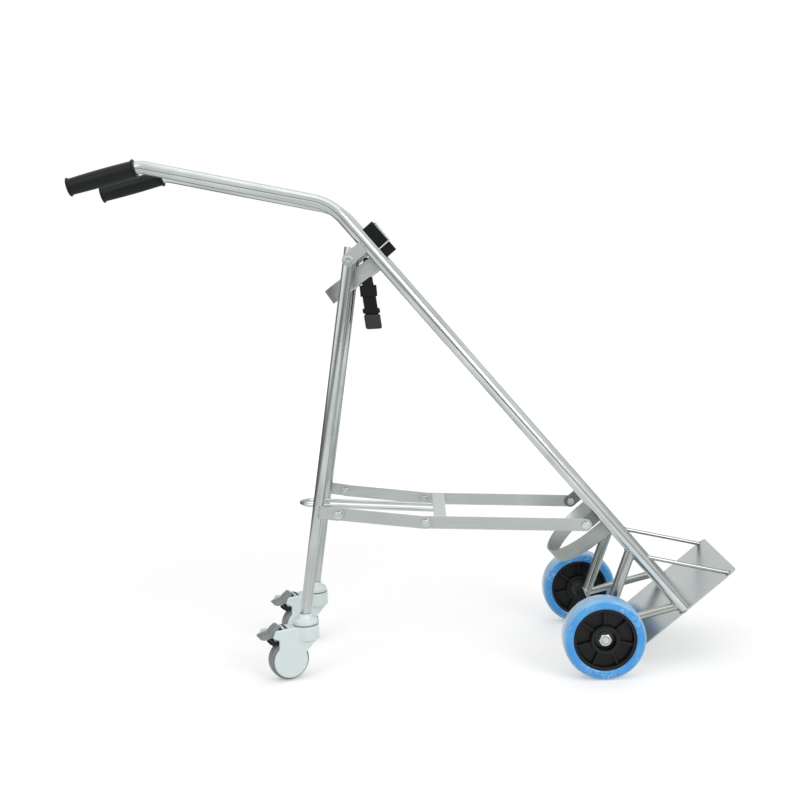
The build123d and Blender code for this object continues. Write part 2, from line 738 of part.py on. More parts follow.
# Pull loop, a rod bent to a long U and welded under the cross plate
loop_level = plate_level - cross_plate_thickness / 2 - loop_rod_diameter / 2 - seat_gap
loop_edge = stay_frame.from_local_coords((cross_plate_offset - cross_plate_width / 2, loop_level, 0))
loop_run = stay_frame.x_dir.rotate(Axis.Y, loop_tilt) * -1
loop_plane = Plane(origin=loop_edge, x_dir=loop_run, z_dir=loop_run.cross(Vector(0, 1, 0)))
with BuildPart() as pull_loop:
    with BuildLine(loop_plane) as loop_path:
        loop_turn = loop_reach - loop_half_width
        Line((-cross_plate_width, loop_half_width), (loop_turn, loop_half_width))
        ThreePointArc((loop_turn, loop_half_width), (loop_reach, 0), (loop_turn, -loop_half_width))
        Line((loop_turn, -loop_half_width), (-cross_plate_width, -loop_half_width))
    with BuildSketch(Plane(origin=loop_path.line @ 0, z_dir=loop_path.line % 0)):
        Circle(loop_rod_diameter / 2)
    sweep(path=loop_path.line)
pull_loop.part.label = "pull_loop"
export_step(pull_loop.part, "parts/pull_loop.step")

# Caster collars, fixed round the stems above the swivelling housings
with BuildPart() as caster_collars:
    for sign in sides.values():
        with BuildSketch(Plane.XY.offset(collar_top - collar_height)):
            with Locations((swivel[0], sign * leg_y)):
                Circle(collar_diameter / 2)
        extrude(amount=collar_height)
    fillet(caster_collars.edges().group_by(Axis.Z)[-1], collar_edge_radius)
    with BuildSketch(Plane.XY.offset(collar_top - collar_height)):
        with Locations(*((swivel[0], sign * leg_y) for sign in sides.values())):
            Circle(stem_diameter / 2 + seat_gap)
    extrude(amount=collar_height, mode=Mode.SUBTRACT)
caster_collars.part.label = "caster_collars"
export_step(caster_collars.part, "parts/caster_collars.step")

# Side outline of the caster hood: distances behind the swivel axis and above the floor
caster_radius = caster_wheel_diameter / 2
caster_centre = (caster_trail, caster_radius)
pedal_pivot = (caster_trail + pedal_ahead, housing_top - pedal_below_top)
hood_outline = [
    (-hood_front, housing_top),
    (-hood_front, housing_top - hood_front_height),
    (caster_trail - hood_shoulder, caster_radius + hood_shoulder_rise),
    caster_centre,
    (caster_trail + hood_heel, caster_radius + hood_heel_rise),
    (caster_trail + hood_waist, caster_radius + hood_waist_rise),
    (caster_trail + hood_lip, housing_top - hood_lip_drop),
    (caster_trail + hood_top_end, housing_top),
]
yaw = radians(caster_yaw)
trail_run = (-cos(yaw), -sin(yaw), 0)
caster_axis = (-sin(yaw), cos(yaw), 0)

# Caster housings: a hood over the wheel, with a round head, a slot for the pedal and its pin
for side, sign in sides.items():
    caster_plane = Plane(origin=(swivel[0], sign * leg_y, 0), x_dir=trail_run, z_dir=caster_axis)
    with BuildPart() as housing:
        with BuildSketch(caster_plane) as hood_side:
            with BuildLine():
                Polyline(*hood_outline, close=True)
            make_face()
            with Locations(caster_centre):
                Circle(housing_cover_radius)
            fillet(hood_side.vertices(), hood_corner_radius)
        extrude(amount=housing_width / 2, both=True)
        fillet(housing.faces().filter_by(caster_plane).edges(), housing_edge_radius)
        with BuildSketch(Plane.XY.offset(housing_top - housing_head_height)):
            with Locations((swivel[0], sign * leg_y)):
                Circle(housing_head_radius)
        extrude(amount=housing_head_height)
        with BuildSketch(caster_plane):
            with Locations(caster_centre):
                Circle(caster_radius + tyre_headroom)
            with Locations((caster_trail + pedal_slot_start, caster_radius)):
                Rectangle(2 * caster_trail, 2 * housing_top, align=(Align.MIN, Align.MIN))
        extrude(amount=housing_cavity / 2, both=True, mode=Mode.SUBTRACT)
        with BuildSketch(Plane.XY.offset(housing_top)):
            with Locations((swivel[0], sign * leg_y)):
                Circle(stem_diameter / 2 + running_gap)
        extrude(amount=-housing_top_thickness - side_gap, mode=Mode.SUBTRACT)
        with BuildSketch(caster_plane):
            with Locations(caster_centre):
                Circle(caster_axle_diameter / 2 + seat_gap)
        extrude(amount=caster_axle_length / 2 + seat_gap, both=True, mode=Mode.SUBTRACT)
        with BuildSketch(caster_plane):
            with Locations(pedal_pivot):
                Circle(pedal_pin_diameter / 2)
        extrude(amount=housing_cavity / 2, both=True)
    housing.part.label = f"{side}_caster_housing"
    export_step(housing.part, f"parts/{side}_caster_housing.step")

    # Caster tyre
    with BuildPart() as caster_tyre:
        with BuildSketch(caster_plane):
            with Locations(caster_centre):
                Circle(caster_radius)
        extrude(amount=caster_tyre_width / 2, both=True)
        fillet(caster_tyre.edges().filter_by(GeomType.CIRCLE), caster_tyre_edge)
        with BuildSketch(caster_plane):
            with Locations(caster_centre):
                Circle(caster_radius - caster_tyre_depth)
        extrude(amount=caster_tyre_width, both=True, mode=Mode.SUBTRACT)
    caster_tyre.part.label = f"{side}_caster_tyre"
    export_step(caster_tyre.part, f"parts/{side}_caster_tyre.step")

    # Caster core, running on the caster axle
    with BuildPart() as caster_core:
        with BuildSketch(caster_plane):
            with Locations(caster_centre):
                Circle(caster_radius - caster_tyre_depth - seat_gap)
                Circle(caster_axle_diameter / 2 + running_gap, mode=Mode.SUBTRACT)
        extrude(amount=caster_core_width / 2, both=True)
    caster_core.part.label = f"{side}_caster_core"
    export_step(caster_core.part, f"parts/{side}_caster_core.step")

    # Caster axle, held between the cheeks of the hood
    with BuildPart() as caster_axle:
        with BuildSketch(caster_plane):
            with Locations(caster_centre):
                Circle(caster_axle_diameter / 2)
        extrude(amount=caster_axle_length / 2, both=True)
    caster_axle.part.label = f"{side}_caster_axle"
    export_step(caster_axle.part, f"parts/{side}_caster_axle.step")

    # Brake pedal, rocking on the pin across the slot
    with BuildPart() as pedal:
        with BuildSketch(caster_plane) as pedal_side:
            with Locations(pedal_pivot):
                Polygon(*pedal_outline, align=None)
            fillet(pedal_side.vertices(), pedal_edge_radius)
            with Locations(pedal_pivot):
                Circle(pedal_pin_diameter / 2 + running_gap, mode=Mode.SUBTRACT)
        extrude(amount=pedal_width / 2, both=True)
    pedal.part.label = f"{side}_brake_pedal"
    export_step(pedal.part, f"parts/{side}_brake_pedal.step")

    # Brake block, fixed under the pedal above the tyre
    with BuildPart() as brake_block:
        with BuildSketch(caster_plane) as block_side:
            with Locations(pedal_pivot):
                Polygon(*brake_block_outline, align=None)
            fillet(block_side.vertices(), brake_block_edge_radius)
        extrude(amount=brake_block_width / 2, both=True)
    brake_block.part.label = f"{side}_brake_block"
    export_step(brake_block.part, f"parts/{side}_brake_block.step")

# Strap: the end that goes over the rail and down the inside of the saddle's left arm
belt_outer_face = saddle_face - saddle_thickness - seat_gap
belt_inner_face = belt_outer_face - strap_thickness
belt_front_face = belt_inner_face - strap_thickness
with BuildPart() as strap_belt:
    with BuildSketch(side_plane((belt_outer_face + belt_inner_face) / 2)):
        Polygon(
            on_strap(strap_riser_low, -strap_riser_back),
            on_strap(strap_riser_high, -strap_riser_back),
            on_strap(strap_riser_high, strap_front_back),
            on_strap(strap_riser_low, strap_front_back),
            align=None,
        )
        with Locations(on_strap(rivet_height, -rivet_back)):
            Circle(rivet_diameter / 2 + seat_gap, mode=Mode.SUBTRACT)
    extrude(amount=strap_thickness / 2, both=True)
    with BuildSketch(side_plane((belt_outer_face + belt_front_face) / 2)):
        Polygon(
            on_strap(strap_riser_low, strap_front_back),
            on_strap(strap_front_end, strap_front_back),
            on_strap(strap_front_end, strap_front_reach),
            on_strap(strap_riser_low, strap_front_reach),
            align=None,
        )
    extrude(amount=strap_thickness, both=True)
strap_belt.part.label = "strap_belt"
export_step(strap_belt.part, "parts/strap_belt.step")

# Strap tail, hanging inside the saddle from the rivet
tail_outer_top = belt_inner_face - seat_gap
tail_outer = tail_outer_top - tail_bend_step
rivet_spot = on_strap(rivet_height, -rivet_back)
tail_x = rivet_spot[0] - tail_shift
tail_top = rivet_spot[1] + tail_above_rivet
tail_bend_top = rivet_spot[1] - tail_bend_drop
tail_bend_bottom = tail_bend_top - tail_bend_length
tail_bottom = rivet_spot[1] - tail_drop
with BuildPart() as strap_tail:
    with BuildSketch(Plane.YZ.offset(tail_x)):
        Polygon(
            (tail_outer_top, tail_top),
            (tail_outer_top, tail_bend_top),
            (tail_outer, tail_bend_bottom),
            (tail_outer, tail_bottom),
            (tail_outer - strap_thickness, tail_bottom),
            (tail_outer - strap_thickness, tail_bend_bottom),
            (tail_outer_top - strap_thickness, tail_bend_top),
            (tail_outer_top - strap_thickness, tail_top),
            align=None,
        )
    extrude(amount=strap_width / 2, both=True)
    with BuildSketch(side_plane(tail_outer_top)):
        with Locations(rivet_spot):
            Circle(rivet_diameter / 2 + seat_gap)
    extrude(amount=rivet_diameter, both=True, mode=Mode.SUBTRACT)
strap_tail.part.label = "strap_tail"
export_step(strap_tail.part, "parts/strap_tail.step")

# Strap keepers: two flat loops round the tail, and the tab that closes its end
tail_y = tail_outer - strap_thickness / 2
slot_width = strap_width + 2 * keeper_slack
slot_depth = strap_thickness + 2 * keeper_slack
with BuildPart() as strap_keepers:
    for drop, length in (
        (upper_keeper_drop, upper_keeper_length),
        (lower_keeper_drop, lower_keeper_length),
    ):
        with BuildSketch(Plane.XY.offset(rivet_spot[1] - drop)):
            with Locations((tail_x, tail_y)):
                Rectangle(slot_width + 2 * keeper_wall, slot_depth + 2 * keeper_wall)
                Rectangle(slot_width, slot_depth, mode=Mode.SUBTRACT)
        extrude(amount=length / 2, both=True)
    with BuildSketch(Plane.XY.offset(tail_bottom - end_tab_overhang)):
        with Locations((tail_x, tail_y)):
            Rectangle(slot_width + 2 * keeper_wall, slot_depth + 2 * keeper_wall)
    extrude(amount=end_tab_length)
    with BuildSketch(Plane.XY.offset(tail_bottom - keeper_slack)):
        with Locations((tail_x, tail_y)):
            Rectangle(slot_width, slot_depth)
    extrude(amount=end_tab_length, mode=Mode.SUBTRACT)
strap_keepers.part.label = "strap_keepers"
export_step(strap_keepers.part, "parts/strap_keepers.step")

# Strap ring, a bent wire against the inner face of the belt
ring_y = belt_front_face - ring_wire / 2 - seat_gap
with BuildPart() as strap_ring:
    with BuildLine(side_plane(ring_y)) as ring_path:
        FilletPolyline(
            on_strap(ring_low, ring_back),
            on_strap(ring_low, ring_front),
            on_strap(ring_high, ring_front),
            on_strap(ring_high, ring_back),
            radius=ring_corner_radius,
            close=True,
        )
    with BuildSketch(Plane(origin=ring_path.line @ 0, z_dir=ring_path.line % 0)):
        Circle(ring_wire / 2)
    sweep(path=ring_path.line)
strap_ring.part.label = "strap_ring"
export_step(strap_ring.part, "parts/strap_ring.step")

# Strap rivet, through the tail, the belt and the arm of the saddle
rivet_inner = tail_outer_top - strap_thickness - seat_gap
rivet_outer = saddle_face + seat_gap
with BuildPart() as strap_rivet:
    with BuildSketch(side_plane((rivet_inner + rivet_outer) / 2)):
        with Locations(rivet_spot):
            Circle(rivet_diameter / 2)
    extrude(amount=(rivet_outer - rivet_inner) / 2, both=True)
    head_planes = [
        side_plane(rivet_inner - rivet_head_height / 2),
        side_plane(rivet_outer + rivet_head_height / 2),
    ]
    with BuildSketch(*head_planes):
        with Locations(rivet_spot):
            Circle(rivet_head_diameter / 2)
    extrude(amount=rivet_head_height / 2, both=True)
strap_rivet.part.label = "strap_rivet"
export_step(strap_rivet.part, "parts/strap_rivet.step")
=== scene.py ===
from math import atan2, cos, pi, radians, sin

import bmesh
import bpy
import numpy as np
from mathutils import Matrix, Vector


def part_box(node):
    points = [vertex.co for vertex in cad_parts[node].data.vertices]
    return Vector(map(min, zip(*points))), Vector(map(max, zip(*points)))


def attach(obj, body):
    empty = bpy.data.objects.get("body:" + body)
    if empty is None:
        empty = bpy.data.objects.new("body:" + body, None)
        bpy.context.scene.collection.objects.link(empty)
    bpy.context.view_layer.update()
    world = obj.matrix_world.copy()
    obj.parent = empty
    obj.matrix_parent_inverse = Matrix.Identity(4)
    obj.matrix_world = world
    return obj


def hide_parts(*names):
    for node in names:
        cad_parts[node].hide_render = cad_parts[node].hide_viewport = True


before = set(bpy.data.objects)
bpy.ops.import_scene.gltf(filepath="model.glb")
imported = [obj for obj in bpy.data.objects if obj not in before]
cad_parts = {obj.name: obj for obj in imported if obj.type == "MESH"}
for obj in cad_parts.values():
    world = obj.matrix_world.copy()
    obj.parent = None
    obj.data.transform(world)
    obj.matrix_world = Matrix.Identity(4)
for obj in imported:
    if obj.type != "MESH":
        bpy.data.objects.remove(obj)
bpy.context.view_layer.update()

# Camera: it stands on the trolley's right-hand side at about waist height and looks a little down,
# with the slight tilt that the photograph has. Lengths here and below are in metres.
camera_place = (0.0276, -2.3938, 0.8134)
camera_yaw = radians(-1.003)
camera_pitch = radians(6.658)
camera_roll = radians(-2.154)
camera = bpy.data.objects.new("camera", bpy.data.cameras.new("camera"))
camera.data.sensor_width = 36
camera.data.lens = 52.93
camera.matrix_world = (
    Matrix.Translation(camera_place)
    @ Matrix.Rotation(-camera_yaw, 4, "Z")
    @ Matrix.Rotation(pi / 2 - camera_pitch, 4, "X")
    @ Matrix.Rotation(camera_roll, 4, "Z")
)
bpy.context.collection.objects.link(camera)
bpy.context.scene.camera = camera
bpy.context.scene.view_settings.view_transform = "Standard"


# Studio surround: the world is white to the camera and in reflections, and a plain even light to
# everything else, as in a large white cove.
def set_inputs(tree, node, inputs):
    """Each named input of a node takes its value, or a link where it is given a socket."""
    for name, value in inputs.items():
        if isinstance(value, bpy.types.NodeSocket):
            tree.links.new(value, node.inputs[name])
        else:
            node.inputs[name].default_value = value


def add_node(tree, kind, inputs=None, **settings):
    """A shader node with its settings made and its inputs set."""
    node = tree.nodes.new(kind)
    for name, value in settings.items():
        setattr(node, name, value)
    set_inputs(tree, node, inputs or {})
    return node


def maths(tree, operation, first, second=0.0):
    """One operation on two values or sockets."""
    return add_node(tree, "ShaderNodeMath", {0: first, 1: second}, operation=operation).outputs[0]


def ranged(tree, value, start, end, soft=False):
    """A value carried from one pair of limits to another and held between them, with soft ends if asked."""
    inputs = dict(zip(("Value", "From Min", "From Max", "To Min", "To Max"), (value, *start, *end)))
    kind = "SMOOTHSTEP" if soft else "LINEAR"
    return add_node(tree, "ShaderNodeMapRange", inputs, interpolation_type=kind).outputs[0]


def seen_directly(tree):
    """One for camera, glossy and transmission rays, and nought for the light that falls on surfaces."""
    path = add_node(tree, "ShaderNodeLightPath").outputs
    pair = maths(tree, "MAXIMUM", path["Is Camera Ray"], path["Is Glossy Ray"])
    return maths(tree, "MAXIMUM", pair, path["Is Transmission Ray"])


white = (1, 1, 1, 1)
surround_light = 0.72
world = bpy.data.worlds.new("studio")
bpy.context.scene.world = world
world.use_nodes = True
world_tree = world.node_tree
world_level = ranged(world_tree, seen_directly(world_tree), (0, 1), (surround_light, 1))
set_inputs(world_tree, world_tree.nodes["Background"], {"Color": white, "Strength": world_level})


# Floor: a wide pale sheet just under the wheels, with a faint mottle, that keeps the trolley's shadow. Seen
# directly or in the metal it is lifted to white where no shadow falls, the more so the further off it is.
def box_corners(first, second):
    """The corners of a rectangle, from half of each of its sides."""
    return [(-first, -second), (first, -second), (first, second), (-first, second)]


def new_finish(name):
    """A material, with its node tree and its main shader."""
    material = bpy.data.materials.new(name)
    material.use_nodes = True
    return material, material.node_tree, material.node_tree.nodes["Principled BSDF"]


def noise(tree, place, scale, detail, roughness=0.5, distortion=0.0):
    """A cloudy pattern between nought and one."""
    inputs = {"Vector": place, "Scale": scale, "Detail": detail}
    inputs |= {"Roughness": roughness, "Distortion": distortion}
    return add_node(tree, "ShaderNodeTexNoise", inputs).outputs[0]


def vector_length(tree, vector):
    """How long a vector is."""
    return add_node(tree, "ShaderNodeVectorMath", {0: vector}, operation="LENGTH").outputs["Value"]


def stage_sheet(name, points, faces, material):
    """A sheet of the studio's set, which isn't part of the trolley."""
    mesh = bpy.data.meshes.new(name)
    mesh.from_pydata(points, [], faces)
    mesh.materials.append(material)
    sheet = bpy.data.objects.new(name, mesh)
    bpy.context.collection.objects.link(sheet)
    return sheet


floor_half = 9.0
floor_drop = 0.0004
floor_tones = (0.70, 0.72)
floor_mottle_scale = 3.0
floor_reach = (0.8, 3.0)
floor_lift = (0.30, 0.60)
floor_finish, floor_tree, floor_shader = new_finish("pale_floor")
floor_corners = [(x, y, -floor_drop) for x, y in box_corners(floor_half, floor_half)]
stage_sheet("floor", floor_corners, [(0, 1, 2, 3)], floor_finish)
floor_place = add_node(floor_tree, "ShaderNodeTexCoord").outputs["Object"]
floor_mottle = noise(floor_tree, floor_place, floor_mottle_scale, 4.0)
floor_glow = ranged(floor_tree, vector_length(floor_tree, floor_place), floor_reach, floor_lift, soft=True)
set_inputs(floor_tree, floor_shader, {
    "Base Color": ranged(floor_tree, floor_mottle, (0, 1), floor_tones),
    "Emission Color": white,
    "Emission Strength": maths(floor_tree, "MULTIPLY", seen_directly(floor_tree), floor_glow),
    "Roughness": 0.9,
})

# Studio wall: a curtain round the set that only the metal shows. Low down it is dark in front and on the left
# and pale behind, its foot is as pale as the floor and its top is white, which draws the lines on the tubes.
# The tones are given by the share of a turn from the back, by way of the left, where a half is the front.
wall_centre = np.array([0.45, -0.9, 0.0])
wall_radius = 2.0
wall_height = 1.3
wall_steps = 96
wall_foot_top = 0.19
wall_foot_tone = 0.72
wall_change = (0.42, 0.60)
wall_front = (0.39, 0.46)
wall_front_rise = 0.26
wall_low_tones = {
    0.0: 0.95, 0.05: 0.32, 0.13: 0.18, 0.24: 0.22, 0.34: 0.38, 0.45: 0.42, 0.49: 0.26, 0.53: 0.26, 0.56: 0.60,
    0.61: 0.80, 0.70: 0.72, 0.84: 0.42, 0.90: 0.50, 0.93: 0.90,
}
wall_high_tones = {0.0: 1.0, 0.06: 0.52, 0.14: 0.31, 0.26: 0.39, 0.285: 1.40, 0.40: 1.45, 0.46: 1.0}
wall_drape = (1, 1, 0.03)
wall_drape_scale = 4.0
wall_drape_tones = (0.45, 1.2)
wall_turn = np.linspace(0, 2 * pi, wall_steps + 1)[:-1]
wall_ring = wall_centre + wall_radius * np.stack([np.cos(wall_turn), np.sin(wall_turn), 0 * wall_turn], 1)
wall_index = np.arange(wall_steps)
wall_next = (wall_index + 1) % wall_steps
wall_finish, wall_tree = new_finish("grey_curtain")[:2]
wall = stage_sheet(
    "studio_wall",
    np.vstack([wall_ring, wall_ring + (0, 0, wall_height)]).tolist(),
    np.stack([wall_index, wall_next, wall_next + wall_steps, wall_index + wall_steps], 1).tolist(),
    wall_finish,
)
wall.visible_camera = False
wall.visible_diffuse = False
wall.visible_shadow = False
wall_place = add_node(wall_tree, "ShaderNodeTexCoord").outputs["Object"]
wall_spot = add_node(wall_tree, "ShaderNodeSeparateXYZ", {"Vector": wall_place}).outputs
wall_back = maths(wall_tree, "MULTIPLY", wall_spot["Y"], -1.0)
wall_angle = maths(wall_tree, "ARCTAN2", wall_spot["X"], wall_back)
wall_share = ranged(wall_tree, wall_angle, (-pi, pi), (0, 1))
wall_shades = []
for tones in (wall_low_tones, wall_high_tones):
    wall_shade = add_node(wall_tree, "ShaderNodeValToRGB", {"Fac": wall_share})
    wall_shade.color_ramp.elements[1].color = (tones[0.0],) * 3 + (1,)
    for share, tone in tones.items():
        stop = wall_shade.color_ramp.elements.new(share) if share else wall_shade.color_ramp.elements[0]
        stop.color = (tone, tone, tone, 1)
    wall_shades.append(wall_shade.outputs[0])
wall_folds = add_node(wall_tree, "ShaderNodeMapping", {"Vector": wall_place, "Scale": wall_drape}).outputs[0]
wall_stripe = noise(wall_tree, wall_folds, wall_drape_scale, 2.0)
wall_dark = ranged(wall_tree, wall_stripe, (0.40, 0.60), wall_drape_tones, soft=True)
wall_tone = maths(wall_tree, "MULTIPLY", wall_shades[0], wall_dark)
wall_low = ranged(wall_tree, wall_spot["Z"], (0, wall_foot_top), (wall_foot_tone, wall_tone), soft=True)
wall_rise = ranged(wall_tree, wall_share, wall_front, (0, wall_front_rise), soft=True)
wall_above = maths(wall_tree, "SUBTRACT", wall_spot["Z"], wall_rise)
wall_level = ranged(wall_tree, wall_above, wall_change, (wall_low, wall_shades[1]), soft=True)
wall_glow = add_node(wall_tree, "ShaderNodeEmission", {"Color": white, "Strength": wall_level}).outputs[0]
set_inputs(wall_tree, wall_tree.nodes["Material Output"], {"Surface": wall_glow})

# Lamps: a large softbox high on the camera's right, which draws the bright line along the slope of the rails,
# a wide one overhead and a weak one on the left.
softboxes = {
    "key_softbox": {"place": (2.0, -2.55, 1.95), "size": (1.45, 1.75), "watts": 40},
    "fill_softbox": {"place": (-1.9, -2.6, 2.6), "size": (1.6, 1.6), "watts": 14},
    "top_softbox": {"place": (0.0, -0.4, 3.4), "size": (3.6, 3.0), "watts": 24},
}
lamp_target = Vector((0.0, 0.0, 0.45))
for name, box in softboxes.items():
    lamp = bpy.data.lights.new(name, "AREA")
    lamp.shape = "RECTANGLE"
    lamp.size, lamp.size_y = box["size"]
    lamp.energy = box["watts"]
    softbox = bpy.data.objects.new(name, lamp)
    aim = (lamp_target - Vector(box["place"])).to_track_quat("-Z", "Y")
    softbox.matrix_world = Matrix.Translation(box["place"]) @ aim.to_matrix().to_4x4()
    softbox.visible_camera = False
    bpy.context.collection.objects.link(softbox)


# Rails: two lengths of 25 mm stainless tube, polished along their length to a satin finish. Each is bent
# into a push arm and a handle, and its foot is welded to the toe plate.
def grid_mesh(name, grids, crease):
    """A mesh of the quads between the rows and columns of each grid of points. Points that meet are
    merged, so seams and poles close, and the UV map is in metres along the columns and the rows."""
    points, quads, uvs = [], [], []
    start = 0
    for grid in grids:
        rows, columns = grid.shape[:2]
        index = np.arange(rows * columns).reshape(rows, columns)
        corner = np.stack([index[:-1, :-1], index[:-1, 1:], index[1:, 1:], index[1:, :-1]], -1).reshape(-1, 4)
        around = np.linalg.norm(np.diff(grid, axis=1), axis=2).mean(0)
        along = np.linalg.norm(np.diff(grid, axis=0), axis=2).mean(1)
        u, v = np.meshgrid(np.append(0, np.cumsum(around)), np.append(0, np.cumsum(along)))
        points.append(grid.reshape(-1, 3))
        quads.append(corner + start)
        uvs.append(np.stack([u.ravel(), v.ravel()], 1)[corner.ravel()])
        start += rows * columns
    mesh = bpy.data.meshes.new(name)
    mesh.from_pydata(np.vstack(points).tolist(), [], np.vstack(quads).tolist())
    mesh.uv_layers.new(name="UVMap").uv.foreach_set("vector", np.vstack(uvs).ravel())
    shape = bmesh.new()
    shape.from_mesh(mesh)
    bmesh.ops.remove_doubles(shape, verts=shape.verts, dist=2e-6)
    bmesh.ops.recalc_face_normals(shape, faces=shape.faces)
    shape.to_mesh(mesh)
    shape.free()
    mesh.polygons.foreach_set("use_smooth", np.ones(len(mesh.polygons), bool))
    mesh.set_sharp_from_angle(angle=radians(crease))
    return mesh


def make_piece(name, grids, material, body, node=None, crease=40):
    """A piece made from its grids, which rides on a body. Where a CAD node is named, the piece stands in for
    it, and the node is hidden."""
    piece = bpy.data.objects.new(name, grid_mesh(name, grids, crease))
    piece.data.materials.append(material)
    bpy.context.collection.objects.link(piece)
    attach(piece, body)
    if node:
        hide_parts(node)


def make_pair(name, grids, material, y, body, node=None, crease=40):
    """The same piece on the right and on the left, from grids about the middle plane that are moved out by y.
    Its name and its node's begin with the side, and a star in its body's name stands for the side."""
    for side, out in outward.items():
        moved = [grid + y * out for grid in grids]
        side_node = node and f"{side}_{node}"
        make_piece(f"{side}_{name}", moved, material, body.replace("*", side), side_node, crease)


def side_point(x, z):
    """A point in the trolley's middle plane from its place in the side view."""
    return np.array([x, 0.0, z])


def unit(vector):
    """The same direction with a length of one, for one vector or for each row of many."""
    return vector / np.linalg.norm(vector, axis=-1, keepdims=True)


def bent_path(corners, radii, steps=14):
    """Points along straight runs joined by arcs: each arc touches both runs, so its centre lies on the
    line that halves the corner, at the radius divided by the sine of half the corner's angle."""
    corners = np.asarray(corners, float)
    path = [corners[:1]]
    for before, corner, after, radius in zip(corners, corners[1:], corners[2:], radii):
        back, on = unit(before - corner), unit(after - corner)
        half = np.arccos(np.clip(back @ on, -1, 1)) / 2
        centre = corner + unit(back + on) * radius / np.sin(half)
        spoke = (corner + back * radius / np.tan(half) - centre) / radius
        turn = np.linspace(0, pi - 2 * half, steps)[:, None]
        path.append(centre + radius * (np.cos(turn) * spoke - np.sin(turn) * back))
    return np.vstack([*path, corners[-1:]])


def carried(path, across, section):
    """A section carried along a path: the first number of each of its points counts along the direction
    across, and the second along the one square to it and to the path. Rows of no size close both ends."""
    across = np.broadcast_to(across, path.shape)
    square = np.cross(unit(np.gradient(path, axis=0)), across)
    rows = path[:, None] + section[..., :1] * across[:, None] + section[..., 1:] * square[:, None]
    ends = [np.broadcast_to(path[end], rows[:1].shape) for end in (0, -1)]
    return np.concatenate([ends[0], rows, ends[1]])


def tube_grid(path, across, radius, sides=48):
    """A round rod: a circle of the given radius, or of one for each point, carried along the path."""
    turn = np.linspace(0, 2 * pi, sides + 1)
    return carried(path, across, np.reshape(radius, (-1, 1, 1)) * np.stack([np.cos(turn), np.sin(turn)], 1))


def blended(tree, share, first, second):
    """A colour between two others, by its share of the second."""
    inputs = {"Factor": share, "A": first, "B": second}
    return add_node(tree, "ShaderNodeMix", inputs, data_type="RGBA").outputs["Result"]


def steel_finish(name, streaks, light, dark, roughness, coordinate="UV", turn=0.0):
    """Satin steel: fine streaks from a noise drawn out along the polishing, which change the colour,
    the roughness and the height, under a broad cloudiness."""
    material, tree, shader = new_finish(name)
    place = add_node(tree, "ShaderNodeTexCoord").outputs
    drawn = {"Vector": place[coordinate], "Rotation": (0, turn, 0), "Scale": streaks}
    streak = noise(tree, add_node(tree, "ShaderNodeMapping", drawn).outputs[0], 1.0, 5.0)
    cloud = noise(tree, place["Object"], 9.0, 4.0)
    both = maths(tree, "ADD", streak, cloud)
    spread = (0.7, 1.3)
    bump = add_node(tree, "ShaderNodeBump", {"Height": streak, "Strength": 0.12, "Distance": 0.0002})
    set_inputs(tree, shader, {
        "Base Color": blended(tree, ranged(tree, both, spread, (0, 1)), (*dark, 1), (*light, 1)),
        "Roughness": ranged(tree, both, spread, roughness[::-1]),
        "Normal": bump.outputs[0],
        "Metallic": 1.0,
    })
    return material


y_axis = np.array([0.0, 1.0, 0.0])
outward = {"right": -y_axis, "left": y_axis}
rail_low, rail_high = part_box("left_rail")
rail_y = (rail_low.y + rail_high.y) / 2
rail_radius = (rail_high.y - rail_low.y) / 2
rail_foot = side_point(0.536752, 0.112380)
main_bend = side_point(-0.129407, 0.929172)
handle_bend = side_point(-0.490898, 1.012628)
handle_tip = side_point(-0.628173, 0.980431)
bend_radii = [0.110, 0.030]
rail_up = unit(main_bend - rail_foot)
rail_out = np.cross(y_axis, rail_up)
tube_streaks = (240, 3, 1)
tube_steel = steel_finish("satin_tube", tube_streaks, (0.63, 0.67, 0.655), (0.38, 0.415, 0.40), (0.12, 0.25))
rail_line = bent_path([rail_foot, main_bend, handle_bend, handle_tip], bend_radii)
rail_grid = tube_grid(rail_line, y_axis, rail_radius, 56)
make_pair("rail_tube", [rail_grid], tube_steel, rail_y, "frame", "rail")


# Grips: black soft-plastic sleeves pushed over the handles, barrel-shaped, with a rolled flange at each
# end and a closed, slightly domed outer end.
def turned(start, run, across, distance, radius):
    """A shape turned about an axis: each row lies at its distance along the axis, and each column at its
    radius and at an even share of the whole turn from the direction across."""
    turn = np.linspace(0, 2 * pi, radius.shape[1])[:, None]
    spoke = np.cos(turn) * across + np.sin(turn) * np.cross(run, across)
    return start + distance[:, None, None] * run + radius[..., None] * spoke


def lathe_grid(start, run, across, profile, sides=48, swell=0.0):
    """A turned profile: each of its points gives a distance along the axis and a radius about it, to which
    the swell at each row and column is added."""
    profile = np.asarray(profile, float)
    return turned(start, run, across, profile[:, 0], profile[:, 1:] + swell + np.zeros(sides + 1))


def moulded_finish(name, colour, roughness, grain, depth, wear, wear_share=0.5, gloss=0.5):
    """Moulded plastic or rubber: an even colour clouded by wear, under a fine leathery grain."""
    material, tree, shader = new_finish(name)
    place = add_node(tree, "ShaderNodeTexCoord").outputs["Object"]
    pebble = noise(tree, place, grain, 3.0)
    cloud = noise(tree, place, 28.0, 6.0, 0.65)
    worn = ranged(tree, cloud, (0.42, 0.72), (0, wear_share), soft=True)
    bump = add_node(tree, "ShaderNodeBump", {"Height": pebble, "Strength": 0.35, "Distance": depth})
    set_inputs(tree, shader, {
        "Base Color": blended(tree, worn, (*colour, 1), (*wear, 1)),
        "Roughness": ranged(tree, cloud, (0.3, 0.7), (roughness - 0.07, roughness + 0.07)),
        "Normal": bump.outputs[0],
        "Specular IOR Level": gloss,
    })
    return material


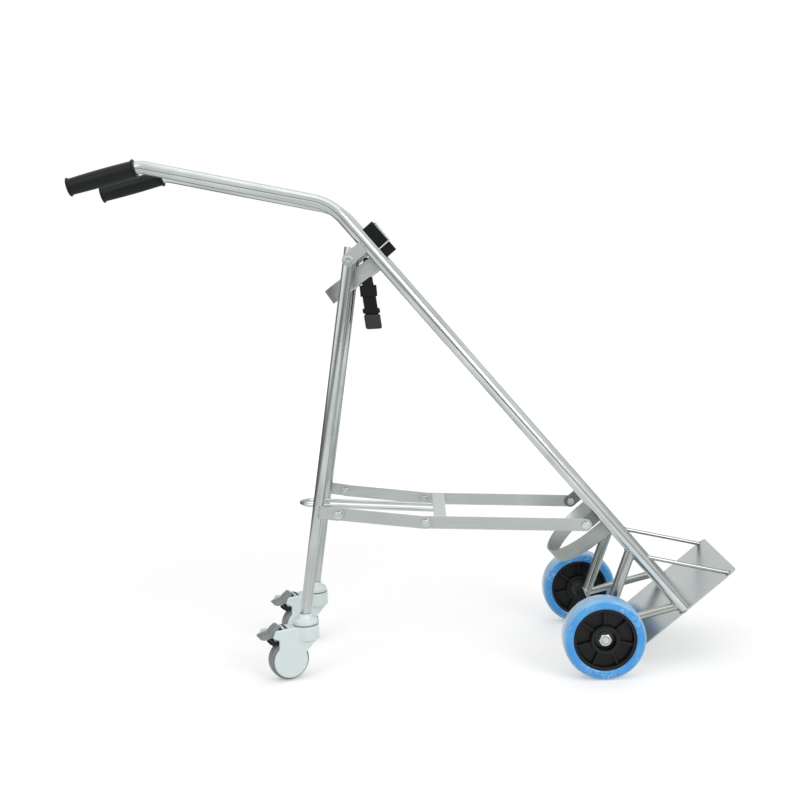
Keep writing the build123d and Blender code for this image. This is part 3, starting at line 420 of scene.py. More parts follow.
handle_run = unit(handle_tip - handle_bend)
grip_gap = 0.009
grip_length = 0.136
grip_end_radius = 0.0159
grip_bulge = 0.0010
flange_radius = 0.0185
flange_width = 0.0050
flange_round = 0.0021
flange_neck = 0.0012
belly_start = flange_width + 0.002
grip_dome = 0.0012
dome_step = 0.004
dome_flat = 0.006
belly = np.linspace(0, 1, 25)[:, None]
grip_belly = np.hstack([
    belly_start + belly * (grip_length - 2 * belly_start),
    grip_end_radius + grip_bulge * np.sin(pi * belly),
])
inner_corners = [
    (0, rail_radius),
    (0, flange_radius),
    (flange_width, flange_radius),
    (flange_width, grip_end_radius),
    grip_belly[0],
]
outer_corners = [
    grip_belly[-1],
    (grip_length - flange_width, grip_end_radius),
    (grip_length - flange_width, flange_radius),
    (grip_length - grip_dome, flange_radius),
    (grip_length - grip_dome, flange_radius - dome_step),
    (grip_length, dome_flat),
    (grip_length, 0),
]
inner_flange = bent_path(inner_corners, [flange_round, flange_round, flange_neck], 7)
outer_flange = bent_path(outer_corners, [flange_neck, flange_round, flange_round, 0.001, 0.004], 7)
grip_profile = np.vstack([inner_flange[:-1], grip_belly, outer_flange[1:]])
grip_rubber = moulded_finish(
    "black_grip", (0.0042, 0.0060, 0.0066), 0.38, 1400.0, 0.00012, wear=(0.0085, 0.0118, 0.0128), gloss=0.20
)
grip_grid = lathe_grid(handle_bend + grip_gap * handle_run, handle_run, y_axis, grip_profile)
make_pair("grip_sleeve", [grip_grid], grip_rubber, rail_y, "frame", "grip")


# Toe plate: one sheet of 3 mm stainless with rounded corners and eased edges, welded square across the
# feet of the rails.
def rounded_outline(corners, radius, steps=9):
    """A closed outline: its corners are rounded by arcs, and it begins and ends half way along its first
    side."""
    corners = np.asarray(corners, float)
    middle = (corners[0] + corners[1]) / 2
    return bent_path([middle, *corners[1:], corners[0], middle], np.broadcast_to(radius, len(corners)), steps)


def plate_grid(outline, thickness, edge, origin, first, second, middle=None):
    """A flat plate: each row is the outline drawn in and raised, from the middle of one face, round the
    eased edge on a quarter circle at each face, to the middle of the other."""
    face_inset = 0.0002
    tangent = np.roll(outline[:-1], -1, 0) - np.roll(outline[:-1], 1, 0)
    tangent = unit(np.vstack([tangent, tangent[:1]]))
    square = np.stack([tangent[:, 1], -tangent[:, 0]], 1)
    middle = outline[:-1].mean(0) if middle is None else middle
    square *= np.sign(((outline - middle) * square).sum())
    turn = np.linspace(0, pi / 2, 5)
    inset = edge * (1 - np.sin(turn))
    drawn_in = np.pad(np.concatenate([inset, inset[::-1]]), 1, constant_values=edge + face_inset)
    raised = np.concatenate([thickness / 2 - inset[::-1], inset - thickness / 2])
    raised = np.pad(raised, 2, mode="edge")[:, None, None]
    rows = outline - drawn_in[:, None, None] * square
    centre = np.broadcast_to(middle, rows[:1].shape)
    rows = np.concatenate([centre, rows, centre])
    return origin + rows[..., :1] * first + rows[..., 1:] * second + raised * np.cross(first, second)


plate_depth = 0.252
plate_width = 0.260
plate_thickness = 0.003
plate_corner = 0.012
eased_edge = 0.0007
plate_outline = rounded_outline(box_corners(plate_depth / 2, plate_width / 2), plate_corner)
plate_centre = rail_foot - rail_up * plate_thickness / 2
rail_lean = atan2(rail_up[2], -rail_up[0])
sheet_streaks = (9, 420, 9)
sheet_steel = steel_finish(
    "satin_sheet", sheet_streaks, (0.49, 0.53, 0.525), (0.45, 0.49, 0.485), (0.20, 0.27), "Object", -rail_lean
)
toe_grid = plate_grid(plate_outline, plate_thickness, eased_edge, plate_centre, rail_out, y_axis)
make_piece("toe_sheet", [toe_grid], sheet_steel, "frame", "toe_plate")

# Toe rods: 8 mm bright bar, one each side, cut to length and left straight. Each is welded from the front of
# its rail down to the front of the plate, and keeps the plate square.
toe_rod_radius = 0.004
toe_rod_height = 0.143
toe_rod_reach = 0.110
rod_high = rail_foot + toe_rod_height * rail_up
rod_low = rail_foot + toe_rod_reach * rail_out
drawn_steel = steel_finish(
    "drawn_steel", tube_streaks, (0.46, 0.485, 0.465), (0.26, 0.28, 0.265), (0.15, 0.28)
)
rod_grid = tube_grid(np.linspace(rod_high, rod_low, 4), y_axis, toe_rod_radius, 28)
make_pair("toe_bar", [rod_grid], drawn_steel, rail_y, "frame", "toe_rod")


# Saddles: two hoops of 30 by 3 mm flat bar, bent to a half circle between straight arms that are welded to
# the insides of the rails. The cylinder lies in them.
def band_grid(path, across, width, thickness, edge, steps=4):
    """A flat bar: a rectangle with rounded edges carried along the path, wide along the direction across
    and thick along the one square to it and to the path."""
    return carried(path, across, rounded_outline(box_corners(width / 2, thickness / 2), edge, steps))


saddle_width = 0.030
saddle_thickness = 0.003
saddle_lip = 0.005
saddle_face = 0.10845
saddle_middle = saddle_face - saddle_thickness / 2
# The hoops' tones are painted: lit and shaded copies of one steel, the lower one darker for painted shade.
saddles = {
    "upper": {"height": 0.9135, "tilt": radians(5.7), "arm": 0.0225, "tone": 0.50},
    "lower": {"height": 0.225, "tilt": 0.0, "arm": 0.027, "tone": 0.38},
}
saddle_tint = np.array([1.0, 1.07, 1.035])
saddle_streaks = (700, 5, 1)
for name, saddle in saddles.items():
    lean = rail_lean + saddle["tilt"]
    front = side_point(sin(lean), cos(lean))
    along = side_point(-cos(lean), sin(lean))
    swing = np.linspace(pi / 2, 3 * pi / 2, 49)
    hoop = np.stack([saddle_middle * np.cos(swing) - saddle["arm"], saddle_middle * np.sin(swing)], 1)
    hoop = np.vstack([(saddle_lip, saddle_middle), hoop, (saddle_lip, -saddle_middle)])
    hoop_line = rail_foot + saddle["height"] * rail_up + hoop[:, :1] * front + hoop[:, 1:] * y_axis
    hoop_grid = band_grid(hoop_line, along, saddle_width, saddle_thickness, eased_edge)
    # Painted tone: each hoop's copy of the steel is lightened or darkened for the light it gets.
    painted_strip_tone = saddle["tone"] * saddle_tint
    strip_steel = steel_finish(f"{name}_strip", saddle_streaks, painted_strip_tone, 0.8 * painted_strip_tone, (0.42, 0.52))
    make_piece(f"{name}_saddle_hoop", [hoop_grid], strip_steel, "frame", f"{name}_saddle")


# Axle: a 15 mm steel rod, threaded at both ends, that runs through the wheels inside a 25 mm tube. The tube
# carries the feet of the uprights and braces.
def thread_grid(start, run, across, radius, length, pitch, depth, sides=40):
    """A threaded end: the radius falls by the depth and comes back once in each pitch along the axis, and
    the wave moves on by one pitch in each turn. The last pitch tapers to the flat end."""
    distance = np.linspace(0, length, int(8 * length / pitch))[:, None]
    turn = np.linspace(0, 2 * pi, sides + 1)
    wave = (1 + np.cos(2 * pi * distance / pitch - turn)) / 2
    rings = radius - depth * wave * np.clip((length - distance) / pitch, 0, 1)
    rings = np.minimum(rings, radius - depth + (length - distance))
    return turned(start, run, across, np.append(distance, length), np.vstack([rings, 0 * turn]))


def ring_profile(low, high, bore, radius, edge, steps=5):
    """The half section of a ring between two distances, from its bore out to its radius, with eased edges."""
    return bent_path([(low, bore), (low, radius), (high, radius), (high, bore)], [edge, edge], steps)


z_axis = np.array([0.0, 0.0, 1.0])
axle_centre = side_point(0.365727, 0.080)
axle_tube_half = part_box("axle_tube")[1].y
axle_tube_radius = 0.0125
axle_tube_edge = 0.0008
axle_radius = 0.0075
axle_play = 0.0002
axle_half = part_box("axle_rod")[1].y
thread_length = 0.024
thread_pitch = 0.0018
thread_depth = 0.0009
sleeve_profile = ring_profile(
    -axle_tube_half, axle_tube_half, axle_radius + axle_play, axle_tube_radius, axle_tube_edge
)
sleeve_grid = lathe_grid(axle_centre, y_axis, z_axis, sleeve_profile)
make_piece("axle_sleeve", [sleeve_grid], tube_steel, "frame", "axle_tube")
plated_streaks = (300, 300, 300)
zinc = steel_finish(
    "bright_zinc", plated_streaks, (0.62, 0.665, 0.645), (0.42, 0.455, 0.44), (0.16, 0.30), "Object"
)
axle_plain = axle_half - thread_length
axle_profile = [(-axle_plain, axle_radius), (axle_plain, axle_radius)]
axle_grids = [lathe_grid(axle_centre, y_axis, z_axis, axle_profile, 40)]
for out in outward.values():
    thread_start = axle_centre + axle_plain * out
    axle_grids.append(
        thread_grid(thread_start, out, z_axis, axle_radius, thread_length, thread_pitch, thread_depth)
    )
make_piece("axle_bar", axle_grids, zinc, "frame", "axle_rod")


# Axle nuts: bright plated hexagon nuts, 22 mm across the flats, each on a flat washer, with a second
# washer on the inner side of the hub. The washers are painted dark for the shade in the hubs.
def hexagon_grid(start, run, across, flats, height, bore, sides=72):
    """A hexagon cut by a cone: the radius is the smaller of the hexagon's, half the flats over the cosine
    of the angle from the nearest flat, and the cone's, which narrows to the outer face. It ends in a
    shallow bore."""
    turn = np.linspace(0, 2 * pi, sides + 1)
    hexagon = flats / 2 / np.cos((turn + pi / 6) % (pi / 3) - pi / 6)
    rise = height - flats * np.array([height / flats, 0.10, 0.08, 0.06, 0.04, 0.02, 0.005, 0])
    cone = 0.475 * flats + (height - rise) * 1.73
    rings = np.minimum(hexagon, cone[:, None])
    rise = np.concatenate([[0], rise, [height, height - 0.001, height - 0.0012]])
    flat = np.ones_like(turn)
    rings = np.vstack([bore * flat, rings, (bore + 0.0005) * flat, bore * flat, 0 * flat])
    return turned(start, run, across, rise, rings)


washer_radius = 0.014
washer_thickness = 0.0019
washer_edge = 0.0005
washer_places = (0.15475, 0.1933)
axle_nut_y = 0.1953
axle_nut_flats = 0.022
axle_nut_height = 0.0095
nut_crease = 30
washer_profile = ring_profile(0, washer_thickness, axle_radius, washer_radius, washer_edge)
nut_grids = []
washer_grids = []
for out in outward.values():
    for place in washer_places:
        washer_grids.append(lathe_grid(axle_centre + place * out, out, z_axis, washer_profile))
    nut_seat = axle_centre + axle_nut_y * out
    nut_grids.append(hexagon_grid(nut_seat, out, z_axis, axle_nut_flats, axle_nut_height, axle_radius))
make_piece("axle_hex_nuts", nut_grids, zinc, "frame", "axle_nuts", nut_crease)
# Painted shade: a dark steel for the washers and bearings, standing in for the shade in the hub recesses.
hub_shade_steel = steel_finish(
    "hub_shade_washer", plated_streaks, (0.10, 0.10, 0.105), (0.05, 0.05, 0.055), (0.3, 0.45), "Object"
)
make_piece("axle_washers", washer_grids, hub_shade_steel, "frame")

# Uprights and braces: 22 mm and 16 mm stainless tube. On each side one upright rises from the axle tube to
# the rail, and one brace runs forward from it to the rail just above its foot.
struts = {
    "axle_upright": {"low": (0.373727, 0.080), "high": (0.432783, 0.239858), "radius": 0.011},
    "axle_brace": {"low": (0.365727, 0.080), "high": (0.5298, 0.120904), "radius": 0.008},
}
for name, strut in struts.items():
    strut_line = np.linspace(side_point(*strut["low"]), side_point(*strut["high"]), 6)
    strut_grid = tube_grid(strut_line, y_axis, strut["radius"])
    make_pair(f"{name}_tube", [strut_grid], drawn_steel, rail_y, "frame", name)


# Main tyres: blue polyurethane cast on the cores, 160 mm across and slightly crowned, with round shoulders.
# They still wear the thin clear wrapping they were packed in, crinkled where it creases. Its glints on
# the creases are a painted highlight, and the tread is painted paler in patches, partly dust and partly
# painted sheen.
def crinkle(turn, along, height):
    """Creases of a thin wrapping: ridges where a few waves of different pitch and slant pass through
    nought."""
    first = np.abs(np.sin(17 * turn + 210 * along + 1.3 * np.sin(5 * turn)))
    second = np.abs(np.sin(11 * turn - 330 * along + 2.1 * np.sin(3 * turn + 1)))
    return height * (np.exp(-6 * first) + np.exp(-7 * second))


def mirrored(points, middle=()):
    """The corners of a profile that is alike on both sides of its middle, from those of one side."""
    return [(-along, radius) for along, radius in points] + [*middle] + points[::-1]


tyre_low, tyre_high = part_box("left_tyre")
wheel_y = (tyre_low.y + tyre_high.y) / 2
tyre_half = (tyre_high.y - tyre_low.y) / 2
tyre_radius = (tyre_high.z - tyre_low.z) / 2
tyre_bore = 0.061
tyre_foot = 0.003
tyre_foot_in = 0.0015
tyre_shoulder = 0.009
tyre_crown = 0.0008
tyre_steps = 180
crinkle_height = 0.0004
crinkle_fade = 0.006
tread_edge = 0.007
tread_top = 0.0012
painted_glint_colour = (0.75, 0.85, 0.95, 1)
dust_and_sheen_colour = (0.44, 0.60, 0.66, 1)
tyre_wall = [
    (tyre_half - tyre_foot_in, tyre_bore),
    (tyre_half, tyre_bore + tyre_foot),
    (tyre_half, tyre_radius - tyre_crown),
]
tyre_profile = bent_path(
    mirrored(tyre_wall, [(0, tyre_radius)]), [0.002, tyre_shoulder, 0.30, tyre_shoulder, 0.002], 9
)
tyre_blue = moulded_finish(
    "blue_tyre", (0.026, 0.275, 0.675), 0.40, 900.0, 0.00015, wear=(0.10, 0.405, 0.735), wear_share=0.6
)
tyre_tree = tyre_blue.node_tree
tyre_shader = tyre_tree.nodes["Principled BSDF"]
tyre_base = tyre_shader.inputs["Base Color"].links[0].from_socket
tyre_place = add_node(tyre_tree, "ShaderNodeTexCoord").outputs["Object"]
crease_wave = maths(tyre_tree, "SUBTRACT", noise(tyre_tree, tyre_place, 55.0, 3.0, distortion=1.2), 0.5)
crease_line = ranged(tyre_tree, maths(tyre_tree, "ABSOLUTE", crease_wave), (0, 0.014), (1, 0))
crease_patch = noise(tyre_tree, tyre_place, 16.0, 1.0)
crease_here = ranged(tyre_tree, crease_patch, (0.45, 0.6), (0, 0.75))
# Painted highlight: pale streaks along the wrapping's creases, mixed into the colour.
painted_glint = maths(tyre_tree, "MULTIPLY", crease_line, crease_here)
wrapped = blended(tyre_tree, painted_glint, tyre_base, painted_glint_colour)
hub_place = {"Vector": tyre_place, "Location": (-axle_centre[0], 0, -axle_centre[2]), "Scale": (1, 0, 1)}
tyre_far = vector_length(tyre_tree, add_node(tyre_tree, "ShaderNodeMapping", hub_place).outputs[0])
# Paler tread in patches: partly dust, partly a painted sheen of light on the wrapping.
tread = ranged(tyre_tree, tyre_far, (tyre_radius - tread_edge, tyre_radius - tread_top), (0, 0.95))
dust_and_sheen = maths(tyre_tree, "MULTIPLY", tread, crease_patch)
set_inputs(tyre_tree, tyre_shader, {
    "Base Color": blended(tyre_tree, dust_and_sheen, wrapped, dust_and_sheen_colour),
    "Coat Weight": 0.6,
    "Coat Roughness": 0.12,
})
for side, out in outward.items():
    tyre_turn = np.linspace(0, 2 * pi, tyre_steps + 1) + out[1]
    wrapping = crinkle(tyre_turn, tyre_profile[:, :1], crinkle_height)
    wrapping = wrapping * np.clip((tyre_profile[:, 1:] - tyre_bore) / crinkle_fade, 0, 1)
    tyre_grid = lathe_grid(axle_centre + wheel_y * out, y_axis, z_axis, tyre_profile, tyre_steps, wrapping)
    tyre_grid = np.concatenate([tyre_grid, tyre_grid[:1]])
    make_piece(f"{side}_blue_tyre", [tyre_grid], tyre_blue, f"{side}_wheel", f"{side}_tyre")

# Wheel cores: black glass-filled nylon, moulded in one piece. A rim and a hub stand out from a web on both
# sides, with seven ribs between them, and the hub has a recess for the nut on its outer side.
core_bore = 0.0175
recess_radius = 0.020
hub_radius = 0.0285
rim_inner = 0.054
recess_floor = 0.011
hub_half = 0.025
web_half = 0.008
rim_half = 0.021
draft = 0.0006
rib_count = 7
rib_half = 0.017
rib_thick = 0.005
rib_root = 0.001
mould_round = 0.0014
core_wall = [
    (hub_half, hub_radius - draft),
    (web_half, hub_radius + draft),
    (web_half, rim_inner - draft),
    (rim_half, rim_inner + draft),
    (rim_half, tyre_bore),
]
core_corners = [
    (recess_floor, core_bore),
    (recess_floor, recess_radius),
    (hub_half, recess_radius + draft),
    *mirrored(core_wall)[::-1],
    (-hub_half, core_bore),
    (recess_floor, core_bore),
]
core_profile = bent_path(core_corners, [0.0008] + [mould_round] * 11 + [0.0008], 6)
core_plastic = moulded_finish(
    "black_core", (0.005, 0.0055, 0.006), 0.42, 1100.0, 0.0001, wear=(0.010, 0.011, 0.012), gloss=0.25
)
rib_far = np.linspace(hub_radius - rib_root, rim_inner + rib_root, 5)[:, None]
for side, out in outward.items():
    core_centre = axle_centre + wheel_y * out
    core_grids = [lathe_grid(core_centre, out, z_axis, core_profile, 120)]
    for rib in range(rib_count):
        rib_turn = 2 * pi * rib / rib_count
        rib_run = side_point(sin(rib_turn), cos(rib_turn))
        rib_line = core_centre + rib_far * rib_run
        rib_across = np.cross(y_axis, rib_run)
        core_grids.append(band_grid(rib_line, rib_across, rib_thick, 2 * rib_half, mould_round, 5))
    wheel = f"{side}_wheel"
    make_piece(f"{side}_moulded_core", core_grids, core_plastic, wheel, f"{wheel}_core")

# Wheel bearings: two sealed ball bearings pressed into each hub, painted dark for the shade inside the
# hub, with a rubber shield sunk between the races.
bearing_radius = 0.0175
bearing_half = 0.0055
bearing_play = 0.0001
bearing_y = 0.175
bearing_places = [-0.0125, 0.0125]
shield_sunk = 0.0006
bearing_side = [
    (bearing_half, axle_radius + bearing_play),
    (bearing_half, axle_radius + 0.0028),
    (bearing_half - shield_sunk, axle_radius + 0.0032),
    (bearing_half - shield_sunk, bearing_radius - 0.0030),
    (bearing_half, bearing_radius - 0.0026),
    (bearing_half, bearing_radius),
]
bearing_profile = bent_path(mirrored(bearing_side), [0.0002] * 4 + [0.0008] * 2 + [0.0002] * 4, 4)
bearing_grids = [
    lathe_grid(axle_centre + place * y_axis, y_axis, z_axis, bearing_profile) for place in bearing_places
]
make_pair("ball_bearings", bearing_grids, hub_shade_steel, bearing_y, "*_wheel", "wheel_bearings")


# Hinge plates, stay tabs and leg tabs: short lugs of 4 mm flat bar, each round about its bolt and square
# where it is welded to a rail or a leg.
def lug_outline(reach, width):
    """A bar with a round end about the bolt, at nought, and a square end at its reach."""
    half = width / 2
    corners = [(-half, -half), (reach, -half), (reach, half), (-half, half)]
    return rounded_outline(corners, np.array([0.001, 0.001, half * 0.999, half * 0.999]))


hinge = side_point(-0.101219, 0.821829)
stay_pivot = side_point(0.343782, 0.287279)
leg_bolt = side_point(-0.142191, 0.326368)
leg_at_bolt = side_point(-0.182147, 0.332982)
leg_tab_run = unit(leg_at_bolt - leg_bolt)
lug_thickness = 0.004
bar_streaks = (14, 300, 900)
bar_steel = steel_finish(
    "satin_bar", bar_streaks, (0.50, 0.535, 0.52), (0.43, 0.46, 0.445), (0.34, 0.46), "Object"
)
# Painted shadow: the stay tabs take a darker copy of the bar steel, for the shadow they sit in.
shaded_bar = steel_finish(
    "shaded_bar", bar_streaks, (0.23, 0.245, 0.23), (0.14, 0.15, 0.14), (0.38, 0.50), "Object"
)
lugs = {
    "hinge_plate": {"bolt": hinge, "run": rail_out, "reach": 0.042, "width": 0.024, "y": 0.1303},
    "stay_tab": {"bolt": stay_pivot, "run": rail_out, "reach": 0.034, "width": 0.025, "y": 0.1145},
    "leg_tab": {"bolt": leg_bolt, "run": leg_tab_run, "reach": 0.0385, "width": 0.025, "y": 0.1257},
}
lug_bodies = {"hinge_plate": "frame", "stay_tab": "frame", "leg_tab": "leg_frame"}
lug_steels = {"hinge_plate": bar_steel, "stay_tab": shaded_bar, "leg_tab": bar_steel}
for name, lug in lugs.items():
    outline = lug_outline(lug["reach"], lug["width"])
    square = np.cross(lug["run"], y_axis)
    lug_grid = plate_grid(outline, lug_thickness, eased_edge, lug["bolt"], lug["run"], square)
    make_pair(f"{name}_lug", [lug_grid], lug_steels[name], lug["y"], lug_bodies[name], name)


# Frame bolts: M8 hexagon bolts with a broad washer face, and nuts. One through each hinge plate hangs the
# legs, and one through each stay tab holds a long link.
def bolt_grids(place, head_seat, nut_seat):
    """On both sides, a hexagon head on the washer face at its seat, the plain shank behind it and the
    thread, which begins at the nut's seat."""
    face_corners = [
        (0, 0),
        (0, bolt_face),
        (bolt_face_height, bolt_face - 0.0003),
        (bolt_face_height, bolt_head * 0.45),
    ]
    face_profile = bent_path(face_corners, [0.0003, 0.0005], 4)
    shank = [(0, bolt_radius), (head_seat - nut_seat, bolt_radius)]
    head_height = bolt_head_height - bolt_face_height
    grids = []
    for out in outward.values():
        head = place + head_seat * out
        nut = place + nut_seat * out
        grids += [
            lathe_grid(head, out, z_axis, face_profile, 40),
            hexagon_grid(head + bolt_face_height * out, out, z_axis, bolt_head, head_height, bolt_head_dish),
            lathe_grid(head, -out, z_axis, shank, 28),
            thread_grid(nut, -out, z_axis, bolt_radius, nut_height, bolt_pitch, bolt_thread, 28),
        ]
    return grids


def nut_pair(place, nut_seat, bore):
    """On both sides, a hexagon nut on its seat."""
    return [
        hexagon_grid(place + nut_seat * out, -out, z_axis, bolt_head, nut_height - bolt_end, bore)
        for out in outward.values()
    ]


bolt_radius = 0.0038
bolt_pitch = 0.00125
bolt_thread = 0.0006
bolt_end = 0.001
bolt_head = 0.013
bolt_head_height = 0.0053
bolt_head_dish = 0.0036
bolt_face = 0.0092
bolt_face_height = 0.0016
nut_height = 0.0065
hinge_seats = (0.1323, 0.1057)
stay_seats = (0.1203, 0.1125)
frame_bolt_grids = bolt_grids(hinge, *hinge_seats) + nut_pair(hinge, hinge_seats[1], bolt_radius)
frame_bolt_grids += bolt_grids(stay_pivot, *stay_seats) + nut_pair(stay_pivot, stay_seats[1], bolt_radius)
make_piece("frame_hex_bolts", frame_bolt_grids, zinc, "frame", "frame_bolts", nut_crease)

# Legs: two lengths of 22 mm stainless tube, polished like the rails, that swing on the hinge bolts. They are
# cut square and left open at the top.
leg_top = side_point(-0.097136, 0.846493)
leg_foot = side_point(-0.215833, 0.1295)
leg_y = 0.117
leg_radius = 0.011
leg_bore = 0.0095
leg_hollow = 0.05
leg_edge = 0.0005
leg_length = np.linalg.norm(leg_foot - leg_top)
leg_down = unit(leg_foot - leg_top)
leg_mouth = [(0.04, leg_bore), (0, leg_bore), (0, leg_radius), (0.02, leg_radius)]
leg_profile = np.vstack([
    [(leg_hollow, 0), (leg_hollow, leg_bore)],
    bent_path(leg_mouth, [leg_edge, leg_edge], 4),
    bent_path([(0.1, leg_radius), (leg_length, leg_radius), (leg_length, 0)], [0.0007], 4),
])
# Painted shade: the legs take a darker copy of the rails' steel.
shaded_leg_steel = steel_finish("leg_tube", tube_streaks, (0.53, 0.565, 0.55), (0.33, 0.36, 0.35), (0.12, 0.25))
leg_grid = lathe_grid(leg_top, leg_down, y_axis, leg_profile)
make_pair("leg_tube", [leg_grid], shaded_leg_steel, leg_y, "leg_frame", "leg")

# Leg plugs: turned steel plugs driven into the feet of the legs. The neck of each stands in its caster's
# collar, with a narrow groove where it leaves the tube.
neck_length = 0.024
neck_radius = 0.0108
groove_radius = 0.0090
groove_width = 0.0012
neck_corners = [
    (0, groove_radius),
    (groove_width, groove_radius),
    (groove_width, neck_radius),
    (neck_length, neck_radius),
    (neck_length, 0),
]
neck_profile = bent_path(neck_corners, [0.0002, 0.0006, 0.001], 4)
neck_grid = lathe_grid(leg_foot, leg_down, y_axis, neck_profile)
make_pair("leg_neck", [neck_grid], zinc, leg_y, "leg_frame", "leg_plug")

# Leg bolts: the same M8 bolts and nuts, plated, through the leg tabs and the ends of the short links, which
# turn on their shanks.
leg_seats = (0.1277, 0.1199)
leg_bolt_grids = bolt_grids(leg_bolt, *leg_seats) + nut_pair(leg_bolt, leg_seats[1], bolt_radius)
make_piece("leg_hex_bolts", leg_bolt_grids, zinc, "leg_frame", "leg_bolts", nut_crease)

# Stay links: flat bars of 25 by 3 mm with round ends. On each side a short one from the leg and a long one
# from the rail meet at the knee, so that the stay folds upwards when the pull loop is lifted.
knee = side_point(0.028205, 0.303633)
link_half = 0.025 / 2
link_thickness = 0.003
links = {
    "short_link": {"start": leg_bolt, "y": 0.1218, "body": "short_stay"},
    "long_link": {"start": stay_pivot, "y": 0.1184, "body": "long_stay"},
}
for name, link in links.items():
    reach = np.linalg.norm(knee - link["start"]) / 2
    middle = (knee + link["start"]) / 2
    link_run = unit(knee - link["start"])
    outline = rounded_outline(box_corners(reach + link_half, link_half), link_half * 0.999)
    link_grid = plate_grid(outline, link_thickness, eased_edge, middle, link_run, np.cross(link_run, y_axis))
    make_pair(f"{name}_bar", [link_grid], bar_steel, link["y"], link["body"], name)

# Knee bolts and nuts: the same M8 bolts again, where the links meet. The bolts turn with the short links, and
# the nuts with the long ones.
knee_seats = (0.1233, 0.1169)
knee_play = 0.0001
knee_bolt_grids = bolt_grids(knee, *knee_seats)
knee_nut_grids = nut_pair(knee, knee_seats[1], bolt_radius + knee_play)
make_piece("knee_hex_bolts", knee_bolt_grids, zinc, "short_stay", "knee_bolts", nut_crease)
make_piece("knee_hex_nuts", knee_nut_grids, zinc, "long_stay", "knee_nuts", nut_crease)

# Cross plate and pull loop: a flat bar welded between the long links ties the two sides together, and a loop
# of 8 mm bright rod welded under it reaches back past the legs as a handle.
cross_half = 0.11685
cross_offset = 0.0295
cross_level = 0.011
cross_corner = 0.0012
stay_run = unit(knee - stay_pivot)
stay_up = np.cross(y_axis, stay_run) * np.sign(np.cross(y_axis, stay_run)[2])
cross_centre = knee - cross_offset * stay_run + cross_level * stay_up
cross_outline = rounded_outline(box_corners(link_half, cross_half), cross_corner)
cross_grid = plate_grid(cross_outline, link_thickness, eased_edge, cross_centre, stay_run, y_axis)
# Painted light: the cross plate takes a lighter copy of the links' bar steel, for the light falling on it.
lit_bar = steel_finish(
    "lit_bar", bar_streaks, (0.69, 0.75, 0.735), (0.63, 0.685, 0.67), (0.34, 0.46), "Object"
)
make_piece("stay_cross_bar", [cross_grid], lit_bar, "long_stay", "stay_cross_plate")
loop_origin = side_point(0.045465, 0.308196)
loop_run = side_point(-0.997357, 0.072656)
loop_half = 0.027
loop_reach = 0.272
loop_start = -0.025
loop_rod = 0.004
loop_turn = np.linspace(pi / 2, -pi / 2, 25)
loop_bow = loop_half * np.stack([np.cos(loop_turn), np.sin(loop_turn)], 1) + (loop_reach - loop_half, 0)
loop_flat = np.vstack([(loop_start, loop_half), loop_bow, (loop_start, -loop_half)])
loop_line = loop_origin + loop_flat[:, :1] * loop_run + loop_flat[:, 1:] * y_axis
loop_grid = tube_grid(loop_line, np.cross(y_axis, loop_run), loop_rod, 28)
make_piece("pull_loop_rod", [loop_grid], tube_steel, "long_stay", "pull_loop")

# Caster collars: white nylon caps round the plugs, each with a cone that reaches up to the foot of its leg
# and a thin black seal below, where the housing turns.
swivel = side_point(-0.217737, 0.0)
caster_yaw = radians(24)
trail_run = np.array([-cos(caster_yaw), -sin(caster_yaw), 0])
caster_axis = np.cross(trail_run, z_axis)
collar_low = 0.1070
collar_high = 0.1180
collar_radius = 0.025
collar_cone_radius = 0.0165
collar_top = 0.1272
collar_top_radius = 0.0132
collar_bore = 0.008
seal_low = 0.1051
seal_radius = 0.0243
seal_edge = 0.0007
collar_corners = [
    (collar_low, collar_bore),
    (collar_low, collar_radius),
    (collar_high - 0.001, collar_radius - 0.0004),
    (collar_high, collar_cone_radius),
    (collar_top, collar_top_radius),
    (collar_top, collar_bore),
]
collar_profile = bent_path(collar_corners, [0.0008, 0.004, 0.003, 0.0008], 6)
seal_profile = ring_profile(seal_low, collar_low, collar_bore, seal_radius, seal_edge, 4)
white_plastic = moulded_finish(
    "white_plastic", (0.64, 0.725, 0.715), 0.34, 700.0, 0.00008, wear=(0.595, 0.675, 0.665), wear_share=0.6
)
seal_rubber = moulded_finish(
    "seal_rubber", (0.10, 0.105, 0.105), 0.5, 900.0, 0.0001, wear=(0.15, 0.155, 0.155)
)
collar_grids = []
seal_grids = []
for out in outward.values():
    collar_grids.append(lathe_grid(swivel + leg_y * out, z_axis, y_axis, collar_profile, 64))
    seal_grids.append(lathe_grid(swivel + leg_y * out, z_axis, y_axis, seal_profile, 64))
make_piece("caster_caps", collar_grids, white_plastic, "leg_frame", "caster_collars")
make_piece("caster_seals", seal_grids, seal_rubber, "leg_frame")

# Caster housings: white nylon hoods, each moulded round its wheel with a cheek on both sides, a round head
# for the swivel and a slot behind for the brake pedal.
for side in outward:
    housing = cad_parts[f"{side}_caster_housing"]
    housing.material_slots[0].material = white_plastic


# Caster heads: the round shoulders of the housings, of the same white nylon. Each flows from the swivel's
# ring down into the two cheeks and the sloping front.
def head_radius(turn, level):
    """Distance of the shoulder from the swivel's axis: the larger, smoothly, of the nose, which draws in
    towards its lower end, and of the cheek's flat side behind the cheek's front edge."""
    rise = np.clip((level - head_low) / head_taper, 0, 1)
    nose = head_toe + (head_wide - head_toe) * rise * rise * (3 - 2 * rise)
    edge = np.arctan2(head_cheek, np.interp(level, cheek_edge_levels, cheek_edge_places))
    behind = np.clip((np.abs(turn) - edge) / cheek_fade + 1, 0, 1)
    cheek = head_cheek / np.maximum(np.abs(np.sin(turn)), cheek_least) * behind * behind * (3 - 2 * behind)
    return (nose + cheek + np.sqrt((nose - cheek) ** 2 + head_blend**2)) / 2


